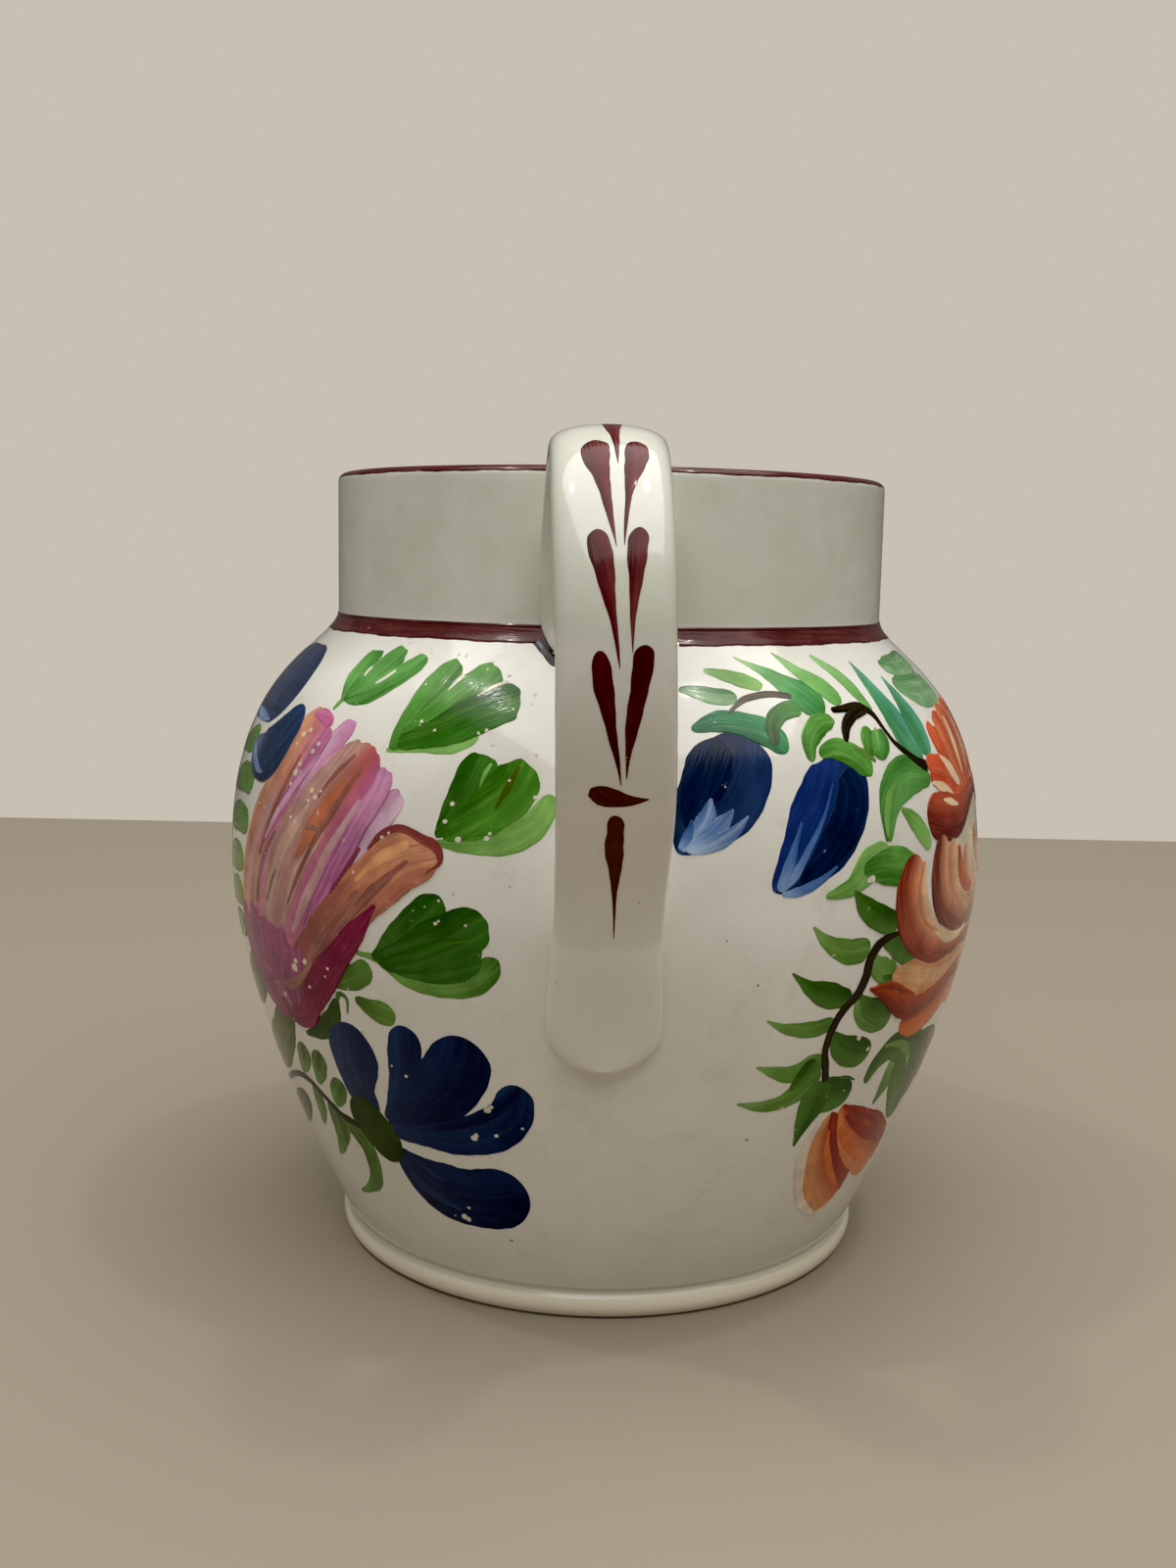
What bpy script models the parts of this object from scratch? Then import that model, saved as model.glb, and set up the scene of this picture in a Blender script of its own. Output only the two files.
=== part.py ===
"""Pearlware jug: one fired piece of pottery, turned, spouted and handled.

A round belly stands on a low foot and carries an upright neck. The lip is pulled
out into a small spout at the front (+Y), and a flat pulled strap makes the handle
at the back (-Y). Clay body, spout and handle are one solid, hollow inside.
Metres, +Z up. The origin is on the jug's axis, at the level of the table.
"""

import math

import bmesh
import bpy
import numpy as np

# Turned body: overall sizes
RIM_HEIGHT = 0.149
NECK_RADIUS = 0.053
NECK_BASE_HEIGHT = 0.122
BELLY_RADIUS = 0.0736
BELLY_HEIGHT = 0.0762
FOOT_RADIUS = 0.0523
FOOT_HEIGHT = 0.0049
FOOT_EDGE_ROUND = 0.0021
BODY_BASE_RADIUS = 0.0512

# Turned body: how the belly's two curves leave the foot, the widest place and the neck
BASE_FLARE = math.radians(28.0)
SHOULDER_FALL = math.radians(34.0)
BASE_PULL = 0.14
BELLY_PULL_DOWN = 0.35
BELLY_PULL_UP = 0.74
SHOULDER_PULL = 0.20

# Walls, floor and the hollow under the foot
BELLY_WALL = 0.0038
NECK_WALL = 0.0032
FLOOR_THICKNESS = 0.0052
INNER_CORNER_HEIGHT = 0.016
INNER_CORNER_WIDTH = 0.015
INNER_NECK_EASE = 0.0010
RECESS_DEPTH = 0.001
RING_WIDTH = 0.0060
RECESS_SLOPE = 0.0014

# Spout: how far the lip is pulled out and up, and how wide
SPOUT_REACH = 0.0145
SPOUT_RISE = 0.0022
SPOUT_HALF_WIDTH = 0.0300
SPOUT_START = 0.0010

# Handle: a flat strap from the neck, over the crest, down to a tongue on the belly
STRAP_THICKNESS = 0.0070
ROOT_WIDTH = 0.0236
LEAVE_WIDTH = 0.0230
CREST_WIDTH = 0.0176
GRIP_WIDTH = 0.0168
BOW_WIDTH = 0.0176
WAIST_WIDTH = 0.0171
TONGUE_WIDTH = 0.0187
CREST_ABOVE_RIM = 0.0047
CREST_FROM_NECK = 0.0215
REACH_FROM_NECK = 0.0495
ROOT_DROP = 0.0060
ROOT_ROUND = 0.0090
ROOT_THICKNESS = 0.0032
NECK_TURN = 0.0040
WAIST_HEIGHT = 0.0750
WAIST_THICKNESS = 0.0062
WAIST_EASE = 0.0050
TONGUE_END_HEIGHT = 0.0529
TONGUE_ROUND = 0.0090
TONGUE_THICKNESS = 0.0034
TONGUE_END_FLAT = 0.0004
SEAT_SINK = 0.0010

# Handle: how far each place of it wanders from the middle, + to the right seen from behind
ROOT_SIDE = -0.0006
LEAVE_SIDE = -0.0002
CREST_SIDE = -0.0007
REACH_SIDE = 0.0012
BOW_SIDE = 0.0017
WAIST_SIDE = 0.0008
TONGUE_SIDE = 0.0006

# Handle: how far up towards the crest it lies on the neck, and how its bow runs
# out of the furthest reach and into the waist
NECK_LIE = 0.34
REACH_PULL = 0.46
WAIST_PULL = 0.36

# Handle: how square its oblong section and its ends are, 2 being an ellipse
SECTION_POWER = 2.4
END_POWER = 2.15

# How finely the round forms are divided
TURNS = 60
BELLY_STEPS = 10
INSIDE_STEPS = 7
NECK_RINGS = 3
ARC_STEPS = 5
STRAP_SIDES = 16
STRAP_STEPS = 8
BOW_STEPS = 11

GLAZE_COLOUR = (0.78, 0.74, 0.62, 1.0)
GLAZE_ROUGHNESS = 0.12


def bezier(start, start_handle, end_handle, end, count):
    """Points of one cubic curve, ends included."""
    t = np.linspace(0.0, 1.0, count)[:, None]
    points = [np.array(p) for p in (start, start_handle, end_handle, end)]
    weights = ((1 - t) ** 3, 3 * (1 - t) ** 2 * t, 3 * (1 - t) * t ** 2, t ** 3)
    return sum(weight * point for weight, point in zip(weights, points))


def ellipse_arc(centre, size, start, end, count):
    """Points of an elliptical arc from one angle to another, ends included."""
    angle = np.radians(np.linspace(start, end, count))
    return np.column_stack((centre[0] + size[0] * np.cos(angle), centre[1] + size[1] * np.sin(angle)))


def belly_curve(count):
    """(radius, height) up the outside of the belly, from the foot to the neck."""
    lower_span = BELLY_HEIGHT - FOOT_HEIGHT
    upper_span = NECK_BASE_HEIGHT - BELLY_HEIGHT
    base = (BODY_BASE_RADIUS, FOOT_HEIGHT)
    widest = (BELLY_RADIUS, BELLY_HEIGHT)
    neck = (NECK_RADIUS, NECK_BASE_HEIGHT)
    base_pull = BASE_PULL * lower_span
    shoulder_pull = SHOULDER_PULL * upper_span
    base_handle = (base[0] + base_pull * math.sin(BASE_FLARE), base[1] + base_pull * math.cos(BASE_FLARE))
    neck_handle = (neck[0] + shoulder_pull * math.sin(SHOULDER_FALL),
                   neck[1] - shoulder_pull * math.cos(SHOULDER_FALL))
    lower = bezier(base, base_handle, (BELLY_RADIUS, BELLY_HEIGHT - BELLY_PULL_DOWN * lower_span), widest, count)
    upper = bezier(widest, (BELLY_RADIUS, BELLY_HEIGHT + BELLY_PULL_UP * upper_span), neck_handle, neck, count)
    return np.vstack((lower, upper[1:]))


FINE_BELLY = belly_curve(200)


def outer_radius(height):
    """Radius of the outside of the turned body at a height above the foot."""
    return float(np.interp(height, FINE_BELLY[:, 1], FINE_BELLY[:, 0]))


def inner_offset(count):
    """(radius, height) up the inside of the belly: the outside moved in by the wall."""
    outside = belly_curve(count)
    along = np.gradient(outside, axis=0)
    along /= np.linalg.norm(along, axis=1)[:, None]
    return np.column_stack((outside[:, 0] - BELLY_WALL * along[:, 1], outside[:, 1] + BELLY_WALL * along[:, 0]))


def inner_curve():
    """(radius, height) up the inside, from the floor's centre to the neck."""
    floor_top = RECESS_DEPTH + FLOOR_THICKNESS
    corner_top = floor_top + INNER_CORNER_HEIGHT
    fine = inner_offset(200)
    corner_radius = float(np.interp(corner_top, fine[:, 1], fine[:, 0]))
    corner = ellipse_arc((corner_radius - INNER_CORNER_WIDTH, corner_top),
                         (INNER_CORNER_WIDTH, INNER_CORNER_HEIGHT), -90.0, 0.0, ARC_STEPS)
    wall = inner_offset(INSIDE_STEPS)
    wall = wall[(wall[:, 1] > corner_top + BELLY_WALL) & (wall[:, 1] < NECK_BASE_HEIGHT - BELLY_WALL / 2)]
    neck = (NECK_RADIUS - NECK_WALL, NECK_BASE_HEIGHT + INNER_NECK_EASE)
    return np.vstack(([(0.0, floor_top)], corner, wall, [neck]))


def neck_heights():
    """Heights of the rings up the neck, between its base and its rounded rim."""
    return np.linspace(NECK_BASE_HEIGHT, RIM_HEIGHT - NECK_WALL / 2, NECK_RINGS + 2)[1:-1]


def body_profile():
    """The turned outline: inside floor, up the inside, over the rim, down the outside, under."""
    rim_round = NECK_WALL / 2
    inside_neck = [(NECK_RADIUS - NECK_WALL, z) for z in neck_heights()]
    rim = ellipse_arc((NECK_RADIUS - rim_round, RIM_HEIGHT - rim_round), (rim_round, rim_round),
                      180.0, 0.0, ARC_STEPS)
    outside_neck = [(NECK_RADIUS, z) for z in reversed(neck_heights())]
    belly = belly_curve(BELLY_STEPS)[::-1]
    foot = ellipse_arc((FOOT_RADIUS - FOOT_EDGE_ROUND, FOOT_HEIGHT / 2), (FOOT_EDGE_ROUND, FOOT_HEIGHT / 2),
                       50.0, -90.0, ARC_STEPS)
    ring_inside = FOOT_RADIUS - FOOT_EDGE_ROUND - RING_WIDTH
    under = [(ring_inside, 0.0), (ring_inside - RECESS_SLOPE, RECESS_DEPTH), (0.0, RECESS_DEPTH)]
    return np.vstack((inner_curve(), inside_neck, rim, outside_neck, belly, foot, under))


def pull_spout(mesh):
    """Move the front of the neck out and up: most at the lip, nothing at the neck's base."""
    start = NECK_BASE_HEIGHT + SPOUT_START
    half_angle = SPOUT_HALF_WIDTH / NECK_RADIUS
    for vertex in mesh.vertices:
        height = (vertex.co.z - start) / (RIM_HEIGHT - start)
        angle = math.atan2(vertex.co.x, vertex.co.y)
        if height <= 0.0 or abs(angle) >= half_angle:
            continue
        bell = math.cos(0.5 * math.pi * angle / half_angle) ** 2
        share = bell * min(height, 1.0) ** 1.5
        radius = math.hypot(vertex.co.x, vertex.co.y)
        grown = (radius + SPOUT_REACH * share) / radius
        vertex.co.x *= grown
        vertex.co.y *= grown
        vertex.co.z += SPOUT_RISE * share * height
    mesh.update()


def new_object(name, mesh, collection):
    """Link a mesh into a collection as a new object."""
    made = bpy.data.objects.new(name, mesh)
    collection.objects.link(made)
    return made


def make_body(collection):
    """Turn the profile round the jug's axis, then pull the spout out of the neck."""
    profile = bpy.data.meshes.new("jug_profile")
    points = body_profile()
    edges = [(i, i + 1) for i in range(len(points) - 1)]
    profile.from_pydata([(radius, 0.0, height) for radius, height in points], edges, [])
    turned = new_object("jug_turned", profile, collection)
    screw = turned.modifiers.new("turned", "SCREW")
    screw.steps = TURNS
    screw.render_steps = TURNS
    screw.use_merge_vertices = True
    screw.merge_threshold = 0.00001
    graph = bpy.context.evaluated_depsgraph_get()
    mesh = bpy.data.meshes.new_from_object(turned.evaluated_get(graph))
    mesh.name = "jug"
    bpy.data.objects.remove(turned)
    bpy.data.meshes.remove(profile)
    pull_spout(mesh)
    return new_object("jug", mesh, collection)


def strap_path():
    """(distance from the axis, height) of the strap's middle line.

    It lies up the neck, leaves it below the rim, goes over the crest, out to its
    furthest reach and down in one bow to the waist, and ends in a tongue on the belly.
    """
    half = STRAP_THICKNESS / 2
    root_height = NECK_BASE_HEIGHT - ROOT_DROP
    root = (outer_radius(root_height) + ROOT_THICKNESS / 2 - SEAT_SINK, root_height)
    crest = (NECK_RADIUS + CREST_FROM_NECK, RIM_HEIGHT + CREST_ABOVE_RIM - half)
    leave = (NECK_RADIUS + half - SEAT_SINK, NECK_BASE_HEIGHT + NECK_LIE * (crest[1] - NECK_BASE_HEIGHT))
    reach = (NECK_RADIUS + REACH_FROM_NECK - half, NECK_BASE_HEIGHT)
    waist = (outer_radius(WAIST_HEIGHT) + WAIST_THICKNESS / 2 - SEAT_SINK, WAIST_HEIGHT)
    corner = (NECK_RADIUS + ROOT_THICKNESS / 2 - SEAT_SINK, NECK_BASE_HEIGHT)
    up_neck = bezier(root, corner, (leave[0], corner[1] + NECK_TURN), leave, STRAP_STEPS)
    over = ellipse_arc((crest[0], leave[1]), (crest[0] - leave[0], crest[1] - leave[1]), 180.0, 90.0, STRAP_STEPS)
    down = ellipse_arc((crest[0], reach[1]), (reach[0] - crest[0], crest[1] - reach[1]), 90.0, 0.0, STRAP_STEPS)
    drop = reach[1] - waist[1]
    bow = bezier(reach, (reach[0], reach[1] - REACH_PULL * drop),
                 (waist[0] + WAIST_EASE, waist[1] + WAIST_PULL * drop), waist, BOW_STEPS)
    fall = np.sin(np.linspace(0.0, math.pi / 2, STRAP_STEPS))
    heights = WAIST_HEIGHT - fall * (WAIST_HEIGHT - TONGUE_END_HEIGHT)
    on_belly = np.array([outer_radius(z) for z in heights]) + TONGUE_THICKNESS / 2 - SEAT_SINK
    on_belly += (waist[0] - on_belly[0]) * (1.0 - fall) ** 2
    tongue = np.column_stack((on_belly, heights))
    return np.vstack((up_neck, over[1:], down[1:], bow[1:], tongue[1:]))


def rounded_end(distance, length):
    """Share of the full width at a distance from a rounded end: a slightly squared half ellipse."""
    share = np.clip((distance + TONGUE_END_FLAT) / length, 0.0, 1.0)
    return (1.0 - (1.0 - share) ** END_POWER) ** (1.0 / END_POWER)


def strap_sizes(path):
    """Width and thickness of the strap, how closely it hugs the body and how it wanders, along its path."""
    along = np.concatenate(([0.0], np.cumsum(np.linalg.norm(np.diff(path, axis=0), axis=1))))
    leave, crest, reach = (along[turn * (STRAP_STEPS - 1)] for turn in (1, 2, 3))
    waist = along[3 * (STRAP_STEPS - 1) + BOW_STEPS - 1]
    end = along[-1]
    root_widest = ROOT_ROUND
    tongue_widest = end - TONGUE_ROUND
    places = (0.0, root_widest, leave, crest, reach, (reach + waist) / 2, waist, tongue_widest, end)
    full_widths = (ROOT_WIDTH, ROOT_WIDTH, LEAVE_WIDTH, CREST_WIDTH, GRIP_WIDTH, BOW_WIDTH, WAIST_WIDTH,
                   TONGUE_WIDTH, TONGUE_WIDTH)
    widths = np.interp(along, places, full_widths)
    widths *= rounded_end(along, ROOT_ROUND) * rounded_end(end - along, TONGUE_ROUND)
    thick_places = (0.0, root_widest, leave, reach, waist, tongue_widest, end)
    thick = np.interp(along, thick_places, (ROOT_THICKNESS, STRAP_THICKNESS, STRAP_THICKNESS, STRAP_THICKNESS,
                                            WAIST_THICKNESS, TONGUE_THICKNESS, TONGUE_THICKNESS))
    hug = np.interp(along, (0.0, root_widest, leave, waist, tongue_widest), (1.0, 1.0, 0.0, 0.0, 1.0))
    side = np.interp(along, places, (ROOT_SIDE, ROOT_SIDE, LEAVE_SIDE, CREST_SIDE, REACH_SIDE, BOW_SIDE,
                                     WAIST_SIDE, TONGUE_SIDE, TONGUE_SIDE))
    return widths, thick, hug, side


def make_strap(collection):
    """Loft the strap's rounded oblong section along its path, with closed ends."""
    path = strap_path()
    widths, thick, hug, side = strap_sizes(path)
    direction = np.gradient(path, axis=0)
    direction /= np.linalg.norm(direction, axis=1)[:, None]
    around = np.linspace(0.0, 2.0 * math.pi, STRAP_SIDES, endpoint=False)
    power = 2.0 / SECTION_POWER
    across = np.sign(np.cos(around)) * np.abs(np.cos(around)) ** power
    proud = np.sign(np.sin(around)) * np.abs(np.sin(around)) ** power
    strap = bmesh.new()
    rings = []
    for i, (distance, height) in enumerate(path):
        x = side[i] + across * widths[i] / 2
        out = proud * thick[i] / 2
        reach = distance + direction[i, 1] * out - hug[i] * x ** 2 / (2.0 * distance)
        z = height - direction[i, 0] * out
        rings.append([strap.verts.new(place) for place in zip(x, -reach, z)])
    for low, high in zip(rings, rings[1:]):
        for i in range(STRAP_SIDES):
            j = (i + 1) % STRAP_SIDES
            strap.faces.new((low[i], low[j], high[j], high[i]))
    strap.faces.new(rings[0][::-1])
    strap.faces.new(rings[-1])
    bmesh.ops.recalc_face_normals(strap, faces=strap.faces)
    mesh = bpy.data.meshes.new("strap")
    strap.to_mesh(mesh)
    strap.free()
    made = new_object("strap", mesh, collection)
    made.hide_render = True
    made.display_type = "WIRE"
    return made


def glaze():
    """Clear, faintly blue-grey glaze over a creamy white body."""
    material = bpy.data.materials.new("pearlware_glaze")
    material.use_nodes = True
    shader = material.node_tree.nodes["Principled BSDF"]
    shader.inputs["Base Color"].default_value = GLAZE_COLOUR
    shader.inputs["Roughness"].default_value = GLAZE_ROUGHNESS
    shader.inputs["Metallic"].default_value = 0.0
    return material


def main():
    for old in list(bpy.data.objects):
        bpy.data.objects.remove(old)
    part = bpy.data.collections.new("pearlware_jug")
    guides = bpy.data.collections.new("cutters")
    bpy.context.scene.collection.children.link(part)
    bpy.context.scene.collection.children.link(guides)
    jug = make_body(part)
    strap = make_strap(guides)
    join = jug.modifiers.new("handle", "BOOLEAN")
    join.operation = "UNION"
    join.solver = "EXACT"
    join.object = strap
    jug.data.materials.append(glaze())
    jug.data.shade_smooth()
    jug.data.set_sharp_from_angle(angle=math.radians(35.0))


main()
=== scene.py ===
"""Pearlware jug, about two hundred years old, as its potter and its painter made it.

The order is the maker's: the thrown body and its pulled spout and strap, the glaze,
the maroon lines, the drops on the strap, then the flowers. Lengths are millimetres
in the formulas and become metres only when a mesh is filled. Places on the outside
are (turn, rise, ...): degrees round from the middle of the strap, positive to the
right as the strap is faced, and millimetres measured up the clay from the foot.
"""

import math

import bmesh
import bpy
import numpy as np
from mathutils import Matrix, Vector


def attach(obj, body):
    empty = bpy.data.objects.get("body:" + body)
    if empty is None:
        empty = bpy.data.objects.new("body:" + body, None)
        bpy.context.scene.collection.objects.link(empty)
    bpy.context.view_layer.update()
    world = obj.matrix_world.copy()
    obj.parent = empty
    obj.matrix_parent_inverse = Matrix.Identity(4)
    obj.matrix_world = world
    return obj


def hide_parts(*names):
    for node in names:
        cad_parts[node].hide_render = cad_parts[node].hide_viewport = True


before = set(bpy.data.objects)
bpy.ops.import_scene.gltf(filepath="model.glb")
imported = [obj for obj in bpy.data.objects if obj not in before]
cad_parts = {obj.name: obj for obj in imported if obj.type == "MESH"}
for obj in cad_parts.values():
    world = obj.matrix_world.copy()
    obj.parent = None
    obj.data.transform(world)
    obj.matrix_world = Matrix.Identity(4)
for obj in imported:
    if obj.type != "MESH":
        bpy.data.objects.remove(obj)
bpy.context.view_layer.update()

# The thrown body
# White clay thrown on the wheel: low rounded foot, round belly, upright neck with a
# rolled lip. The lip's front is pulled out into a spout while the clay is wet.
MM = 0.001
RIM_HEIGHT = 149.0
NECK_RADIUS = 53.0
NECK_BASE = 122.0
BELLY_RADIUS = 73.6
BELLY_HEIGHT = 76.2
FOOT_RADIUS = 52.3
FOOT_HEIGHT = 4.9
FOOT_EDGE = 2.1
BODY_BASE = 51.2
BASE_FLARE = math.radians(28.0)
SHOULDER_FALL = math.radians(34.0)
BASE_PULL, BELLY_PULL_DOWN, BELLY_PULL_UP, SHOULDER_PULL = 0.14, 0.35, 0.74, 0.20
BELLY_WALL = 3.8
NECK_WALL = 3.2
FLOOR_TOP = 6.2
INNER_CORNER = (15.0, 16.0)
RECESS = 1.0
RING_WIDTH = 6.0
RECESS_SLOPE = 1.4
SPOUT_REACH = 14.5
SPOUT_RISE = 2.2
SPOUT_HALF_WIDTH = 30.0
SPOUT_HALF_TURN = SPOUT_HALF_WIDTH / NECK_RADIUS
SPOUT_START = NECK_BASE + 1.0
SPOUT_GROWTH = 1.5
NECK_EASE = ((0.0, 0.5), (0.12, 0.05))
FOOT_GROOVE = ((0.1, 0.35), (-0.05, 0.0))
FOOT_ARC_STARTS = 52.0
NECK_ROWS = 20
ROUND_STEPS = 288


def bow(start, pull_out, pull_in, end, count):
    """A cubic curve: two ends, and the two points that pull its middle towards them."""
    t = np.linspace(0.0, 1.0, count)[:, None]
    corners = [np.array(p, float) for p in (start, pull_out, pull_in, end)]
    weights = ((1 - t) ** 3, 3 * (1 - t) ** 2 * t, 3 * (1 - t) * t ** 2, t ** 3)
    return sum(weight * corner for weight, corner in zip(weights, corners))


def round_off(centre, size, start, end, count):
    """An elliptical arc round a centre, from one angle in degrees to another."""
    angle = np.radians(np.linspace(start, end, count))
    return np.column_stack((centre[0] + size[0] * np.cos(angle), centre[1] + size[1] * np.sin(angle)))


def belly_line(count):
    """(radius, height) up the outside, from the groove over the foot to the foot of the neck."""
    low = BELLY_HEIGHT - FOOT_HEIGHT
    high = NECK_BASE - BELLY_HEIGHT
    lower = bow((BODY_BASE, FOOT_HEIGHT),
                (BODY_BASE + BASE_PULL * low * math.sin(BASE_FLARE),
                 FOOT_HEIGHT + BASE_PULL * low * math.cos(BASE_FLARE)),
                (BELLY_RADIUS, BELLY_HEIGHT - BELLY_PULL_DOWN * low), (BELLY_RADIUS, BELLY_HEIGHT), count)
    upper = bow((BELLY_RADIUS, BELLY_HEIGHT), (BELLY_RADIUS, BELLY_HEIGHT + BELLY_PULL_UP * high),
                (NECK_RADIUS + SHOULDER_PULL * high * math.sin(SHOULDER_FALL),
                 NECK_BASE - SHOULDER_PULL * high * math.cos(SHOULDER_FALL)), (NECK_RADIUS, NECK_BASE), count)
    return np.vstack((lower, upper[1:]))


def beside(line, gap):
    """The same line moved sideways, to the right of its direction."""
    along = np.gradient(line, axis=0)
    along /= np.linalg.norm(along, axis=1)[:, None]
    return np.column_stack((line[:, 0] + gap * along[:, 1], line[:, 1] - gap * along[:, 0]))


def thrown_line():
    """The whole turned outline, from the floor inside, over the lip and down to the underside."""
    lip = NECK_WALL / 2
    inside = beside(belly_line(60), -BELLY_WALL)
    corner_top = FLOOR_TOP + INNER_CORNER[1]
    corner_radius = np.interp(corner_top, inside[:, 1], inside[:, 0])
    corner = round_off((corner_radius - INNER_CORNER[0], corner_top), INNER_CORNER, -90.0, 0.0, 10)
    floor = np.column_stack((np.linspace(0.0, corner[0, 0], 8)[:-1], np.full(7, FLOOR_TOP)))
    inside = inside[(inside[:, 1] > corner_top + 1.0) & (inside[:, 1] < NECK_BASE - 2.0)][::2]
    neck = np.linspace(NECK_BASE + 1.5, RIM_HEIGHT - lip, NECK_ROWS)
    rim = round_off((NECK_RADIUS - lip, RIM_HEIGHT - lip), (lip, lip), 180.0, 0.0, 19)
    fillet = [(NECK_RADIUS + out, NECK_BASE + up) for out, up in NECK_EASE]
    belly = belly_line(44)[::-1][1:-1]
    groove = [(BODY_BASE + out, FOOT_HEIGHT + up) for out, up in FOOT_GROOVE]
    foot = round_off((FOOT_RADIUS - FOOT_EDGE, FOOT_HEIGHT / 2), (FOOT_EDGE, FOOT_HEIGHT / 2),
                     FOOT_ARC_STARTS, -90.0, 12)
    ring = FOOT_RADIUS - FOOT_EDGE - RING_WIDTH
    under = [(ring + 3.0, 0.0), (ring, 0.0), (ring - RECESS_SLOPE * 0.5, RECESS * 0.6),
             (ring - RECESS_SLOPE, RECESS)]
    hollow = [(ring * share, RECESS) for share in (0.8, 0.55, 0.3, 0.0)]
    neck_inside = np.column_stack((np.full(NECK_ROWS, NECK_RADIUS - NECK_WALL), neck))
    neck_outside = np.column_stack((np.full(NECK_ROWS, NECK_RADIUS), neck[::-1]))
    return np.vstack((floor, corner, inside, neck_inside, rim, neck_outside, fillet, belly,
                      groove, foot, under, hollow))


def pulled(radius, height, turn):
    """Radius and height after the potter's finger has drawn the front of the lip out and up.

    The pull is a rounded bell across the front and grows up the neck, to its full reach at the lip.
    """
    share = np.clip((height - SPOUT_START) / (RIM_HEIGHT - SPOUT_START), 0.0, 1.0)
    off_front = np.abs(np.abs((turn + 180.0) % 360.0 - 180.0) - 180.0) * math.pi / 180.0
    bell = np.where(off_front < SPOUT_HALF_TURN,
                    np.cos(0.5 * math.pi * np.minimum(off_front / SPOUT_HALF_TURN, 1.0)) ** 2, 0.0)
    draw = bell * share ** SPOUT_GROWTH
    return radius + SPOUT_REACH * draw, height + SPOUT_RISE * draw * share


def round_the_axis(radius, height, turn):
    """Places in space for a radius and a height at each turn from the strap."""
    angle = np.radians(turn)
    return np.stack((radius * np.sin(angle), -radius * np.cos(angle), height + 0.0 * angle), axis=-1)


def squares(number):
    """Faces over a grid of numbered points: each square joins four neighbours."""
    corners = (number[:-1, :-1], number[:-1, 1:], number[1:, 1:], number[1:, :-1])
    return np.stack(corners, axis=-1).reshape(-1, 4)


def woven(name, grid, closed):
    """A mesh of squares over a grid of places in millimetres; closed joins its last column to its first."""
    rows, columns = grid.shape[:2]
    number = np.arange(rows * columns).reshape(rows, columns)
    if closed:
        number = np.column_stack((number, number[:, 0]))
    mesh = bpy.data.meshes.new(name)
    mesh.from_pydata((grid.reshape(-1, 3) * MM).tolist(), [], squares(number).tolist())
    return mesh


def outward(mesh, merge):
    """Merge what meets within a distance in millimetres, and turn every face outwards."""
    work = bmesh.new()
    work.from_mesh(mesh)
    bmesh.ops.remove_doubles(work, verts=work.verts, dist=merge * MM)
    bmesh.ops.recalc_face_normals(work, faces=work.faces)
    work.to_mesh(mesh)
    work.free()
    return mesh


def thrown_body():
    """The turned outline carried round the wheel, with the spout pulled."""
    line = thrown_line()
    turn = np.linspace(0.0, 360.0, ROUND_STEPS, endpoint=False)[None, :]
    radius, height = pulled(line[:, :1] + 0.0 * turn, line[:, 1:] + 0.0 * turn, turn)
    return outward(woven("thrown_body", round_the_axis(radius, height, turn + 0.0 * radius), True), 0.001)


# The strap
# A flat strap of clay pulled by hand, pressed on at the neck, carried over in one bow
# and pressed down on the belly in a tongue. Its edges are rounded by the wet fingers.
STRAP_THICK = 7.0
STRAP_WIDTHS = (14.5, 23.6, 23.0, 17.6, 16.8, 17.6, 17.1, 18.7, 18.7)
STRAP_SIDES = (-0.6, -0.6, -0.2, -0.7, 1.2, 1.7, 0.8, 0.6, 0.6)
CREST_RISE = 4.7
CREST_OUT = 21.5
REACH_OUT = 49.5
ROOT_DROP = 6.0
ROOT_ROUND = 9.0
ROOT_THICK = 3.2
NECK_TURN = 4.0
NECK_LIE = 0.34
REACH_PULL = 0.46
WAIST_PULL = 0.36
WAIST_HEIGHT = 75.0
WAIST_THICK = 6.2
WAIST_EASE = 5.0
TONGUE_END = 52.9
TONGUE_ROUND = 9.0
TONGUE_THICK = 3.4
END_FLAT = 0.25
SEAT_SINK = 1.0
SECTION_POWER = 2.4
END_POWER = 2.7
EASE = np.linspace(-6.0, 6.0, 7)
FINE = 36
FINE_BOW = 52
STRAP_AROUND = 48

fine_belly = belly_line(300)


def clay_radius(height):
    """Radius of the belly's outside at a height."""
    return np.interp(height, fine_belly[:, 1], fine_belly[:, 0])


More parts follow.
